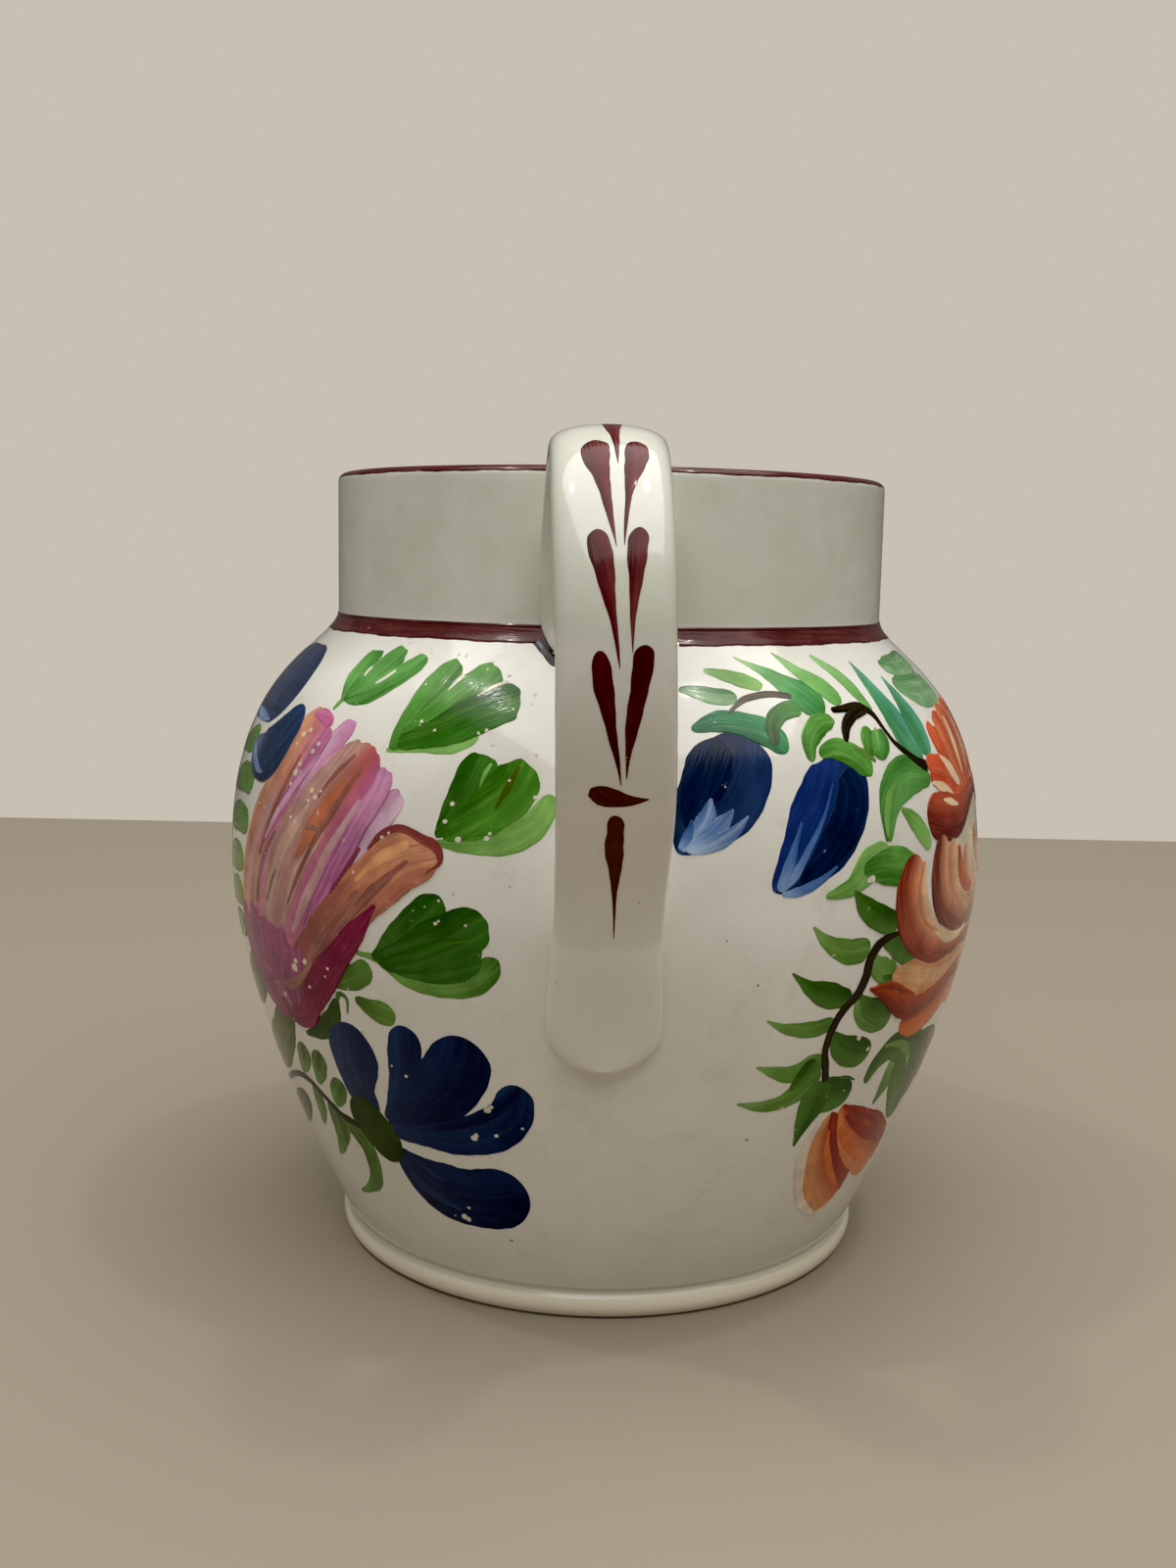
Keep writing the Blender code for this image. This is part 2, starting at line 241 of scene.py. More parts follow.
def strap_line():
    """(distance from the axis, height) of the strap's middle: up the neck, over, down and onto the belly."""
    half = STRAP_THICK / 2
    root_height = NECK_BASE - ROOT_DROP
    root = (clay_radius(root_height) + ROOT_THICK / 2 - SEAT_SINK, root_height)
    crest = (NECK_RADIUS + CREST_OUT, RIM_HEIGHT + CREST_RISE - half)
    leave = (NECK_RADIUS + half - SEAT_SINK, NECK_BASE + NECK_LIE * (crest[1] - NECK_BASE))
    reach = (NECK_RADIUS + REACH_OUT - half, NECK_BASE)
    waist = (clay_radius(WAIST_HEIGHT) + WAIST_THICK / 2 - SEAT_SINK, WAIST_HEIGHT)
    corner = (NECK_RADIUS + ROOT_THICK / 2 - SEAT_SINK, NECK_BASE)
    up = bow(root, corner, (leave[0], corner[1] + NECK_TURN), leave, FINE)
    over = round_off((crest[0], leave[1]), (crest[0] - leave[0], crest[1] - leave[1]), 180.0, 90.0, FINE)
    down = round_off((crest[0], reach[1]), (reach[0] - crest[0], crest[1] - reach[1]), 90.0, 0.0, FINE)
    drop = reach[1] - waist[1]
    run = bow(reach, (reach[0], reach[1] - REACH_PULL * drop),
              (waist[0] + WAIST_EASE, waist[1] + WAIST_PULL * drop), waist, FINE_BOW)
    fall = np.sin(np.linspace(0.0, math.pi / 2, FINE))
    height = WAIST_HEIGHT - fall * (WAIST_HEIGHT - TONGUE_END)
    out = clay_radius(height) + TONGUE_THICK / 2 - SEAT_SINK
    out += (waist[0] - out[0]) * (1.0 - fall) ** 2
    return np.vstack((up, over[1:], down[1:], run[1:], np.column_stack((out, height))[1:]))


def blunt(distance, length):
    """Share of the full width at a distance from a rounded end: a slightly squared half ellipse."""
    share = np.clip((distance + END_FLAT) / length, 0.0, 1.0)
    return (1.0 - (1.0 - share) ** END_POWER) ** (1.0 / END_POWER)


def eased(run, places, values):
    """Values joined by straight lines between places, then averaged over a few millimetres."""
    return np.mean([np.interp(run + shift, places, values) for shift in EASE], axis=0)


strap = strap_line()
strap_run = np.concatenate(([0.0], np.cumsum(np.linalg.norm(np.diff(strap, axis=0), axis=1))))
strap_aim = np.gradient(strap, strap_run, axis=0)
strap_aim /= np.linalg.norm(strap_aim, axis=1)[:, None]
leave_at, crest_at, reach_at = (strap_run[turn * (FINE - 1)] for turn in (1, 2, 3))
waist_at, end_at = strap_run[3 * (FINE - 1) + FINE_BOW - 1], strap_run[-1]
widest_at = end_at - TONGUE_ROUND
strap_knots = (0.0, ROOT_ROUND, leave_at, crest_at, reach_at, (reach_at + waist_at) / 2, waist_at, widest_at,
               end_at)
strap_width = eased(strap_run, strap_knots, STRAP_WIDTHS)
strap_side = eased(strap_run, strap_knots, STRAP_SIDES)
strap_width *= blunt(strap_run, ROOT_ROUND) * blunt(end_at - strap_run, TONGUE_ROUND)
strap_thick = eased(strap_run, (0.0, ROOT_ROUND, leave_at, reach_at, waist_at, widest_at, end_at),
                        (ROOT_THICK, STRAP_THICK, STRAP_THICK, STRAP_THICK, WAIST_THICK, TONGUE_THICK,
                         TONGUE_THICK))
strap_hug = eased(strap_run, (0.0, ROOT_ROUND, leave_at, waist_at, widest_at), (1.0, 1.0, 0.0, 0.0, 1.0))


def strap_places(run, across, proud, lift):
    """Places on the strap at a run along its middle.

    across is -1 to 1 over its width and proud -1 to 1 over its thickness, 1 being the outer face.
    """
    def at(values):
        return np.interp(run, strap_run, values)
    x = at(strap_side) + across * at(strap_width) / 2
    out = proud * at(strap_thick) / 2 + lift
    reach = at(strap[:, 0]) - at(strap_aim[:, 1]) * out - at(strap_hug) * x ** 2 / (2.0 * at(strap[:, 0]))
    return np.stack((x, -reach, at(strap[:, 1]) + at(strap_aim[:, 0]) * out), axis=-1)


def pulled_strap():
    """A rounded oblong carried along the strap's line: cosine and sine bent to a squarer power."""
    around = np.linspace(0.0, 2.0 * math.pi, STRAP_AROUND, endpoint=False)[None, :]
    power = 2.0 / SECTION_POWER
    across = np.sign(np.cos(around)) * np.abs(np.cos(around)) ** power
    proud = np.sign(np.sin(around)) * np.abs(np.sin(around)) ** power
    grid = strap_places(strap_run[:, None] + 0.0 * around, across, proud, 0.0)
    mesh = woven("pulled_strap", grid, True)
    work = bmesh.new()
    work.from_mesh(mesh)
    bmesh.ops.holes_fill(work, edges=[edge for edge in work.edges if edge.is_boundary], sides=0)
    bmesh.ops.recalc_face_normals(work, faces=work.faces)
    work.to_mesh(mesh)
    work.free()
    return mesh


# The fired piece in its glaze
# Body and strap joined in the wet, fired and glazed as one. The clear glaze is faintly
# blue-grey where it pools, and holds a few dark specks and pinholes. Painted shade darkens
# the foot groove and the upright neck, and painted warm light tints the foot.
SEAM_MERGE = 0.02
SEAM_ROUNDS = 4
SEAM_SHARE = 0.5
# Neck band: the glaze's grey-green tone there, and painted shade on the upright neck.
NECK_GREY_AND_SHADE = (0.119, 0.126)
# Foot band: painted warm light, fading out just above the foot.
FOOT_WARM_LIGHT = (0.0046, 0.0054)
# Foot groove: pooled glaze and painted shade.
GROOVE_HEIGHT, GROOVE_HALF = 0.0050, 0.0009
SPECK_GRID = 150.0
SPECK_SIZES = (0.020, 0.052)
GLAZE_IOR = 1.5
GLAZE_ROUGH = (0.09, 0.20)
GLAZE_COAT, COAT_ROUGH = 0.20, 0.05
SKIN_STRENGTH, SKIN_DEPTH = 0.34, 0.0006


def ink(red, green, blue):
    """A colour by its display values from 0 to 255, turned to the linear values of light."""
    display = np.array((red, green, blue)) / 255.0
    linear = np.where(display <= 0.04045, display / 12.92, ((display + 0.055) / 1.055) ** 2.4)
    return tuple(float(value) for value in linear)


def new_finish(name):
    """A node material with its shader, and the calls that add and join nodes in it."""
    material = bpy.data.materials.new(name)
    material.use_nodes = True
    tree = material.node_tree
    shader = tree.nodes["Principled BSDF"]

    def node(kind, **settings):
        made = tree.nodes.new(kind)
        for key, value in settings.items():
            setattr(made, key, value)
        return made

    def join(source, target):
        tree.links.new(source, target)

    return material, shader, node, join


def pattern(node, join, where, scale, detail, rough=0.5):
    """A noise node read at some coordinates."""
    noise = node("ShaderNodeTexNoise")
    noise.inputs["Scale"].default_value = scale
    noise.inputs["Detail"].default_value = detail
    noise.inputs["Roughness"].default_value = rough
    join(where, noise.inputs["Vector"])
    return noise.outputs["Fac"]


def ranged(node, join, value, low, high, to_low=0.0, to_high=1.0):
    """A value between two limits, spread evenly and softly over two others."""
    spread = node("ShaderNodeMapRange", interpolation_type="SMOOTHSTEP")
    join(value, spread.inputs["Value"])
    for socket, number in zip(("From Min", "From Max", "To Min", "To Max"), (low, high, to_low, to_high)):
        spread.inputs[socket].default_value = number
    return spread.outputs["Result"]


def times(node, join, first, second, operation="MULTIPLY"):
    """Two values joined by one sum; a plain number may stand for the second."""
    sum_node = node("ShaderNodeMath", operation=operation)
    join(first, sum_node.inputs[0])
    if isinstance(second, (int, float)):
        sum_node.inputs[1].default_value = second
    else:
        join(second, sum_node.inputs[1])
    return sum_node.outputs["Value"]


def blended(node, join, share, first, second):
    """Two colours mixed by a share; each is a colour or another node's output."""
    mix = node("ShaderNodeMix", data_type="RGBA")
    join(share, mix.inputs["Factor"])
    for socket, colour in ((mix.inputs[6], first), (mix.inputs[7], second)):
        if isinstance(colour, tuple):
            socket.default_value = (*colour, 1.0)
        else:
            join(colour, socket)
    return mix.outputs[2]


def pearl_glaze():
    """Clear glossy glaze over cream-white clay: broad tone, pooling, specks, a soft uneven skin, painted
    shade and light.
    """
    material, shader, node, join = new_finish("pearl_glaze")
    cream, cloudy, mottled = ink(236, 234, 226), ink(229, 227, 217), ink(222, 219, 208)
    smudged, neck_grey_and_shade, painted_warm_light = ink(194, 187, 166), ink(215, 216, 202), ink(236, 228, 207)
    pooled_glaze_and_shade, iron = ink(178, 180, 166), ink(88, 80, 66)
    where = node("ShaderNodeTexCoord").outputs["Object"]
    height = node("ShaderNodeSeparateXYZ")
    join(where, height.inputs["Vector"])
    height = height.outputs["Z"]
    clouds = ranged(node, join, pattern(node, join, where, 26.0, 3.0), 0.35, 0.70)
    mottle = ranged(node, join, pattern(node, join, where, 150.0, 4.0, 0.6), 0.40, 0.75)
    colour = blended(node, join, clouds, cream, cloudy)
    colour = blended(node, join, times(node, join, mottle, 0.35), colour, mottled)
    smudges = ranged(node, join, pattern(node, join, where, 95.0, 6.0, 0.75), 0.53, 0.70, 0.0, 0.24)
    colour = blended(node, join, smudges, colour, smudged)
    # The neck in patchy grey-green: the glaze's own tone, and painted shade where the upright wall gets less
    # light.
    neck_patches = ranged(node, join, pattern(node, join, where, 55.0, 6.0, 0.65), 0.38, 0.62, 0.40, 1.0)
    neck = times(node, join, ranged(node, join, height, *NECK_GREY_AND_SHADE), neck_patches)
    colour = blended(node, join, neck, colour, neck_grey_and_shade)
    # Painted warm light: the foot and the underside tinted warmer.
    foot = ranged(node, join, height, *FOOT_WARM_LIGHT, 1.0, 0.0)
    colour = blended(node, join, foot, colour, painted_warm_light)
    # A thin darker line in the groove over the foot: glaze pooled there, and painted shade in the crease.
    groove = node("ShaderNodeMath", operation="COMPARE")
    join(height, groove.inputs[0])
    groove.inputs[1].default_value = GROOVE_HEIGHT
    groove.inputs[2].default_value = GROOVE_HALF
    pool = times(node, join, groove.outputs["Value"], 0.45)
    colour = blended(node, join, pool, colour, pooled_glaze_and_shade)
    cells = node("ShaderNodeTexVoronoi")
    cells.inputs["Scale"].default_value = SPECK_GRID
    join(where, cells.inputs["Vector"])
    chosen = node("ShaderNodeSeparateColor")
    join(cells.outputs["Color"], chosen.inputs["Color"])
    rare = ranged(node, join, chosen.outputs["Red"], 0.74, 0.76)
    size = ranged(node, join, chosen.outputs["Green"], 0.0, 1.0, *SPECK_SIZES)
    near = times(node, join, cells.outputs["Distance"], size, "LESS_THAN")
    speck = times(node, join, times(node, join, near, rare), 0.75)
    colour = blended(node, join, speck, colour, iron)
    join(colour, shader.inputs["Base Color"])
    worn = ranged(node, join, pattern(node, join, where, 70.0, 5.0, 0.65), 0.45, 0.80, *GLAZE_ROUGH)
    join(worn, shader.inputs["Roughness"])
    shader.inputs["IOR"].default_value = GLAZE_IOR
    shader.inputs["Coat Weight"].default_value = GLAZE_COAT
    shader.inputs["Coat Roughness"].default_value = COAT_ROUGH
    skin = node("ShaderNodeBump")
    skin.inputs["Strength"].default_value = SKIN_STRENGTH
    skin.inputs["Distance"].default_value = SKIN_DEPTH
    swell = pattern(node, join, where, 45.0, 2.0)
    pits = times(node, join, pattern(node, join, where, 600.0, 2.0), 0.05)
    join(times(node, join, swell, pits, "ADD"), skin.inputs["Height"])
    join(skin.outputs["Normal"], shader.inputs["Normal"])
    return material


def fired_jug():
    """Body and strap joined as one solid, its seam eased so that the glaze rounds it."""
    body = bpy.data.objects.new("pearlware_jug", thrown_body())
    handle = bpy.data.objects.new("wet_strap", pulled_strap())
    for made in (body, handle):
        bpy.context.scene.collection.objects.link(made)
    glaze = pearl_glaze()
    body.data.materials.append(glaze)
    handle.data.materials.append(glaze)
    handle.data.materials.append(glaze)
    handle.data.polygons.foreach_set("material_index", np.ones(len(handle.data.polygons), dtype=np.int32))
    joint = body.modifiers.new("joined_wet", "BOOLEAN")
    joint.operation = "UNION"
    joint.solver = "EXACT"
    joint.object = handle
    joint.material_mode = "INDEX"
    body.data.materials.append(glaze)
    graph = bpy.context.evaluated_depsgraph_get()
    fired = bpy.data.meshes.new_from_object(body.evaluated_get(graph))
    bpy.data.objects.remove(handle)
    body.modifiers.clear()
    body.data = fired
    work = bmesh.new()
    work.from_mesh(fired)
    bmesh.ops.remove_doubles(work, verts=work.verts, dist=SEAM_MERGE * MM)
    seam = [v for v in work.verts if len({face.material_index for face in v.link_faces}) > 1]
    near = set(seam)
    for _ in range(2):
        near |= {edge.other_vert(v) for v in near for edge in v.link_edges}
    for _ in range(SEAM_ROUNDS):
        bmesh.ops.smooth_vert(work, verts=list(near), factor=SEAM_SHARE,
                              use_axis_x=True, use_axis_y=True, use_axis_z=True)
    for face in work.faces:
        face.material_index = 0
        face.smooth = True
    work.to_mesh(fired)
    work.free()
    while len(fired.materials) > 1:
        fired.materials.pop()
    return body


jug = fired_jug()
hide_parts("jug")
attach(jug, "root")

# Enamel and the way it is laid
# Colours ground in oil, brushed over the fired glaze and fired again: each dab is a thin
# raised skin, streaked along the brush, ragged where the bristles leave, and worn in flecks.
CHART = math.radians(BELLY_RADIUS)
ENAMEL_BASE = 0.030
ENAMEL_STEP = 0.010
ENAMEL_PILE = 0.012
EDGE_SINK = 0.05
ROW_GAP = 0.7
COLUMN_GAP = 0.6
ROW_LIMITS = (12, 64)
COLUMN_LIMITS = (9, 31)
RIM_WIDTH = 0.7
HAIRLINE = 0.10
SHAKE_SHARE, SHAKE_MOST = 0.10, 0.14
BRISTLE_LEAD = 0.16
BRUSH_UNITS = 0.01
BRUSH_STRETCH = (7.0, 80.0, 1.0)
HAIR_STRETCH = (14.0, 300.0, 1.0)
WEAR_STARTS, WEAR_ENDS = 0.735, 0.745
ENAMEL_ROUGH = (0.09, 0.24)
ENAMEL_SHINE = 0.22
RIDGE_STRENGTH, RIDGE_DEPTH = 0.40, 0.00014
CHART_HALF, CHART_TOP = 240, 160
laid = np.zeros((2 * CHART_HALF, CHART_TOP), dtype=np.int32)

outside = np.vstack((belly_line(500), [(NECK_RADIUS, NECK_BASE + 0.2), (NECK_RADIUS, RIM_HEIGHT - 1.6)]))
outside_rise = np.concatenate(([0.0], np.cumsum(np.linalg.norm(np.diff(outside, axis=0), axis=1))))
outside_aim = np.gradient(outside, outside_rise, axis=0)


def on_clay(x, rise, lift):
    """Places on the outside from chart millimetres: x round the belly, rise up the clay, lift off it."""
    turn = x / CHART
    radius = np.interp(rise, outside_rise, outside[:, 0])
    height = np.interp(rise, outside_rise, outside[:, 1])
    up = np.interp(rise, outside_rise, outside_aim[:, 1])
    slope = np.interp(rise, outside_rise, outside_aim[:, 0])
    radius, height = pulled(radius, height, turn)
    return round_the_axis(radius + lift * up, height - lift * slope, turn)


def smooth_through(points, at, where):
    """Cubic pieces through points that lie at distances, each sloping as its two neighbours do."""
    slope = np.gradient(points, at, axis=0)
    piece = np.clip(np.searchsorted(at, where, side="right") - 1, 0, len(at) - 2)
    gap = (at[piece + 1] - at[piece])[..., None]
    t = (where - at[piece])[..., None] / gap
    return ((2 * t ** 3 - 3 * t ** 2 + 1) * points[piece] + (3 * t ** 2 - 2 * t ** 3) * points[piece + 1]
            + (t ** 3 - 2 * t ** 2 + t) * gap * slope[piece] + (t ** 3 - t ** 2) * gap * slope[piece + 1])


def paint(*along, left=None, right=None, streak=None, strength=0.35, reach=1.0, fray=0.0, tip=0.5):
    """What a loaded brush lays: colours from root to tip, along its two sides and in its streaks.

    reach is how far the side colours come in, fray how many millimetres the bristles leave ragged, and
    tip how long the round of the far end is, as a share of its width.
    """
    return {"along": along, "left": left, "right": right, "streak": np.array(streak or along[-1]),
            "strength": strength, "reach": reach, "fray": fray, "tip": tip}


def dab_colours(load, u, v, bristle):
    """Each colour fades to the next along the dab, a little early or late at each bristle; sides come in."""
    colours = np.array(load["along"] if len(load["along"]) > 1 else load["along"] * 2)
    at = np.clip(u + BRISTLE_LEAD * (bristle - 0.5) * u * (1.2 - u) * 4.0, 0.0, 1.0) * (len(colours) - 1)
    piece = np.minimum(at.astype(int), len(colours) - 2)
    share = (at - piece)[..., None]
    share = share * share * (3.0 - 2.0 * share)
    colour = colours[piece] * (1.0 - share) + colours[piece + 1] * share
    for side, sign in (("left", 1.0), ("right", -1.0)):
        if load[side] is not None:
            near = np.clip((sign * v + load["reach"] - 0.55) / load["reach"], 0.0, 1.0)[..., None] ** 1.5
            colour = colour * (1.0 - near) + np.array(load[side]) * near
    return colour


def lay_over(x, y):
    """The count of dabs already under this one, kept for every square millimetre of the chart."""
    column = np.clip(np.round(x).astype(int) + CHART_HALF, 1, 2 * CHART_HALF - 2)
    row = np.clip(np.round(y).astype(int), 1, CHART_TOP - 2)
    layer = int(laid[column, row].max())
    for beside_column, beside_row in ((0, 0), (1, 0), (-1, 0), (0, 1), (0, -1)):
        laid[column + beside_column, row + beside_row] = layer + 1
    return layer


def dab_grid(load, route, place, chart, draws):
    """One dab: a line through the route's points with a width at each, in columns as its bristles run.

    A column starts and stops where a half ellipse as wide as the dab cuts it, and stops early by its own
    share of the fray. The middle is piled a little higher, and the rim turns down to the glaze.
    """
    points = np.array(route, float)
    points[:, 0] *= chart
    at = np.concatenate(([0.0], np.cumsum(np.linalg.norm(np.diff(points[:, :2], axis=0), axis=1))))
    length = at[-1]
    columns = int(np.clip(points[:, 2].max() / COLUMN_GAP, *COLUMN_LIMITS))
    rows = int(np.clip(length / ROW_GAP, *ROW_LIMITS))
    v = np.sin(np.linspace(-0.5, 0.5, columns) * math.pi)[None, :]
    caps = [min(share * width, 0.4 * length) if width > 0.6 else 0.0
            for share, width in ((0.5, points[0, 2]), (load["tip"], points[-1, 2]))]
    turned_in = 1.0 - np.sqrt(np.maximum(1.0 - v ** 2, 0.0))
    bristle = draws.uniform(0.0, 1.0, (1, columns))
    bristle = 0.5 * bristle + 0.25 * (np.roll(bristle, 1, axis=1) + np.roll(bristle, -1, axis=1))
    start = caps[0] * turned_in
    stop = length - caps[1] * turned_in - load["fray"] * bristle * min(1.0, points[-1, 2] / 3.0)
    run = start + (stop - start) * (0.5 - 0.5 * np.cos(np.linspace(0.0, math.pi, rows)))[:, None]
    line = smooth_through(points, at, run)
    fine = np.linspace(0.0, length, 90)
    aim = np.gradient(smooth_through(points, at, fine)[:, :2], fine, axis=0)
    aim /= np.linalg.norm(aim, axis=1)[:, None]
    aim_x, aim_y = np.interp(run, fine, aim[:, 0]), np.interp(run, fine, aim[:, 1])
    half = np.maximum(line[..., 2], HAIRLINE) / 2
    phase = draws.uniform(0.0, 6.28, 4)
    swing = np.minimum(half * SHAKE_SHARE, SHAKE_MOST)
    shake = swing * (np.sin(run * 0.6 + phase[0]) + 0.4 * np.sin(run * 1.7 + phase[1]))
    other = swing * (np.sin(run * 0.5 + phase[2]) + 0.4 * np.sin(run * 1.9 + phase[3]))
    wide = half + np.where(v > 0, shake, other)
    x = line[..., 0] - aim_y * v * wide
    y = line[..., 1] + aim_x * v * wide
    inward = np.minimum(np.minimum((1.0 - np.abs(v)) * wide, stop - run), run - start)
    edge = 1.0 - np.clip(inward / np.minimum(RIM_WIDTH, 0.7 * half), 0.0, 1.0)
    pile = ENAMEL_PILE * (1.0 - v ** 4) * np.minimum(1.0, half / 0.6)
    lift = ENAMEL_BASE + ENAMEL_STEP * lay_over(x, y) + pile
    colour = dab_colours(load, run / length, v + 0.0 * run, bristle + 0.0 * run)
    values = np.dstack((x, y, lift, edge, run, v * wide, colour))
    values = np.pad(values, ((1, 1), (1, 1), (0, 0)), mode="edge")
    rim = np.ones(values.shape[:2], bool)
    rim[1:-1, 1:-1] = False
    values[..., 2] = np.where(rim, -EDGE_SINK, values[..., 2])
    return place(values[..., 0], values[..., 1], values[..., 2]), values[..., 3:]


def enamel_mesh(name, places, faces, painted, streaked, brush, finish):
    """A mesh in millimetres with its colour and rim, its streak and its brush line, set on the jug."""
    mesh = bpy.data.meshes.new(name)
    mesh.from_pydata((places * MM).tolist(), [], faces.tolist())
    for layer_name, values in (("paint", painted), ("streak", streaked)):
        attribute = mesh.color_attributes.new(layer_name, "FLOAT_COLOR", "POINT")
        attribute.data.foreach_set("color", values.astype(np.float32).ravel())
    corners = np.empty(len(mesh.loops), dtype=np.int32)
    mesh.loops.foreach_get("vertex_index", corners)
    mesh.uv_layers.new(name="brush").data.foreach_set("uv", (brush[corners] * BRUSH_UNITS).ravel())
    mesh.shade_smooth()
    mesh.materials.append(finish)
    piece = bpy.data.objects.new(name, mesh)
    bpy.context.scene.collection.objects.link(piece)
    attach(piece, "root")
    return piece


def enamel_piece(name, dabs, finish, place=on_clay, chart=CHART, downwards=False, seed=1):
    """All the dabs of one motif as one mesh, laid in their order."""
    draws = np.random.default_rng(seed)
    places, faces, painted, streaked, brush, first = [], [], [], [], [], 0
    for load, route in dabs:
        grid, values = dab_grid(load, route, place, chart, draws)
        places.append(grid.reshape(-1, 3))
        faces.append(squares(first + np.arange(len(places[-1])).reshape(grid.shape[:2])))
        first += len(places[-1])
        painted.append(np.dstack((values[..., 3:], values[..., 0])).reshape(-1, 4))
        streaked.append(np.tile(np.append(load["streak"], load["strength"]), (len(places[-1]), 1)))
        brush.append(values[..., 1:3].reshape(-1, 2) + draws.uniform(0.0, 400.0, 2))
    faces = np.vstack(faces)
    return enamel_mesh(name, np.vstack(places), faces if downwards else faces[:, ::-1], np.vstack(painted),
                       np.vstack(streaked), np.vstack(brush), finish)


def copied(dabs, turned=0.0, raised=0.0, mirror_at=None):
    """The same dabs painted again elsewhere: mirrored about a turn, or moved round and up."""
    again = []
    for load, route in dabs:
        points = np.array(route, float)
        if mirror_at is not None:
            points[:, 0] = 2.0 * mirror_at - points[:, 0]
            load = dict(load, left=load["right"], right=load["left"])
        points[:, :2] += (turned, raised)
        again.append((load, points.tolist()))
    return again


def specks(load, spots):
    """Small irregular spots, each a short fat dab at (turn, rise, width)."""
    return [(load, [(turn - 0.30 * wide, rise - 0.08 * wide, wide * 0.55),
                    (turn + 0.30 * wide, rise + 0.12 * wide, wide * 0.75)]) for turn, rise, wide in spots]


def stretched(node, join, where, scale):
    """Coordinates drawn long one way and packed close the other, as bristles leave their marks."""
    drawn = node("ShaderNodeMapping")
    drawn.inputs["Scale"].default_value = scale
    join(where, drawn.inputs["Vector"])
    return drawn.outputs["Vector"]


def enamel(name, worn=0.0, hair=0.5, rubbed=(222, 212, 192)):
    """Enamel colour from the dab itself, with brush streaks along it, a deeper rim and worn flecks."""
    material, shader, node, join = new_finish(name)
    own = node("ShaderNodeAttribute", attribute_name="paint")
    streak = node("ShaderNodeAttribute", attribute_name="streak")
    brush = node("ShaderNodeUVMap", uv_map="brush").outputs["UV"]
    broad = pattern(node, join, stretched(node, join, brush, BRUSH_STRETCH), 1.0, 3.0)
    thin = pattern(node, join, stretched(node, join, brush, HAIR_STRETCH), 1.0, 2.0)
    lines = times(node, join, ranged(node, join, broad, 0.42, 0.70), streak.outputs["Alpha"])
    colour = blended(node, join, lines, own.outputs["Color"], streak.outputs["Color"])
    fine = times(node, join, ranged(node, join, thin, 0.50, 0.72),
                 times(node, join, streak.outputs["Alpha"], hair))
    colour = blended(node, join, fine, colour, streak.outputs["Color"])
    where = node("ShaderNodeTexCoord").outputs["Object"]
    depth = ranged(node, join, pattern(node, join, where, 190.0, 4.0, 0.6), 0.30, 0.72, 0.80, 1.12)
    depth = times(node, join, depth, ranged(node, join, own.outputs["Alpha"], 0.0, 1.0, 1.0, 0.93))
    deeper = node("ShaderNodeVectorMath", operation="SCALE")
    join(colour, deeper.inputs[0])
    join(depth, deeper.inputs["Scale"])
    colour = deeper.outputs["Vector"]
    if worn:
        rub = pattern(node, join, where, 380.0, 4.0, 0.7)
        rub = times(node, join, rub, times(node, join, own.outputs["Alpha"], 0.035), "ADD")
        flecks = ranged(node, join, rub, WEAR_STARTS - worn, WEAR_ENDS - worn)
        colour = blended(node, join, flecks, colour, ink(*rubbed))
    join(colour, shader.inputs["Base Color"])
    join(ranged(node, join, thin, 0.35, 0.75, *ENAMEL_ROUGH), shader.inputs["Roughness"])
    shader.inputs["IOR"].default_value = GLAZE_IOR
    shader.inputs["Specular IOR Level"].default_value = ENAMEL_SHINE
    ridges = node("ShaderNodeBump")
    ridges.inputs["Strength"].default_value = RIDGE_STRENGTH
    ridges.inputs["Distance"].default_value = RIDGE_DEPTH
    join(times(node, join, broad, thin, "ADD"), ridges.inputs["Height"])
    join(ridges.outputs["Normal"], shader.inputs["Normal"])
    return material


# The maroon lines
# One line is spun round the foot of the neck and a finer one over the lip, with the jug
# turning on the wheel. The first breaks at the strap, where the brush goes round its root;
# there it is near black, from thick paint and painted shadow in the crevice by the strap.
MAROON = ink(88, 40, 40)
MAROON_DEEP = ink(56, 20, 24)
MAROON_THIN = ink(128, 80, 76)
# Near black for the line round the strap's root: thick maroon and painted shadow.
BLACK_MAROON_SHADE = ink(16, 11, 12)
BAND_FROM, BAND_TO = 124.6, 128.3
BAND_STARTS, BAND_STOPS = 12.4, 348.6
NECK_CORNER = outside_rise[-3]
CORNER_POOL, CORNER_WIDTH = 0.22, 0.9
LIP_FROM, LIP_TO = 22.0, 150.0
LINE_WAVES = ((0.10, 0.21, 1.0), (0.07, 0.63, 2.0), (0.04, 1.7, 0.0))
NECK_SHARES = np.array((-0.1, 0.0, 0.15, 0.35, 0.55, 0.68, 0.74, 0.78, 0.80, 0.82, 0.86, 0.92, 1.0, 1.1))
LIP_SHARES = np.concatenate(((-0.1,), np.linspace(0.0, 1.0, 13), (1.1,)))


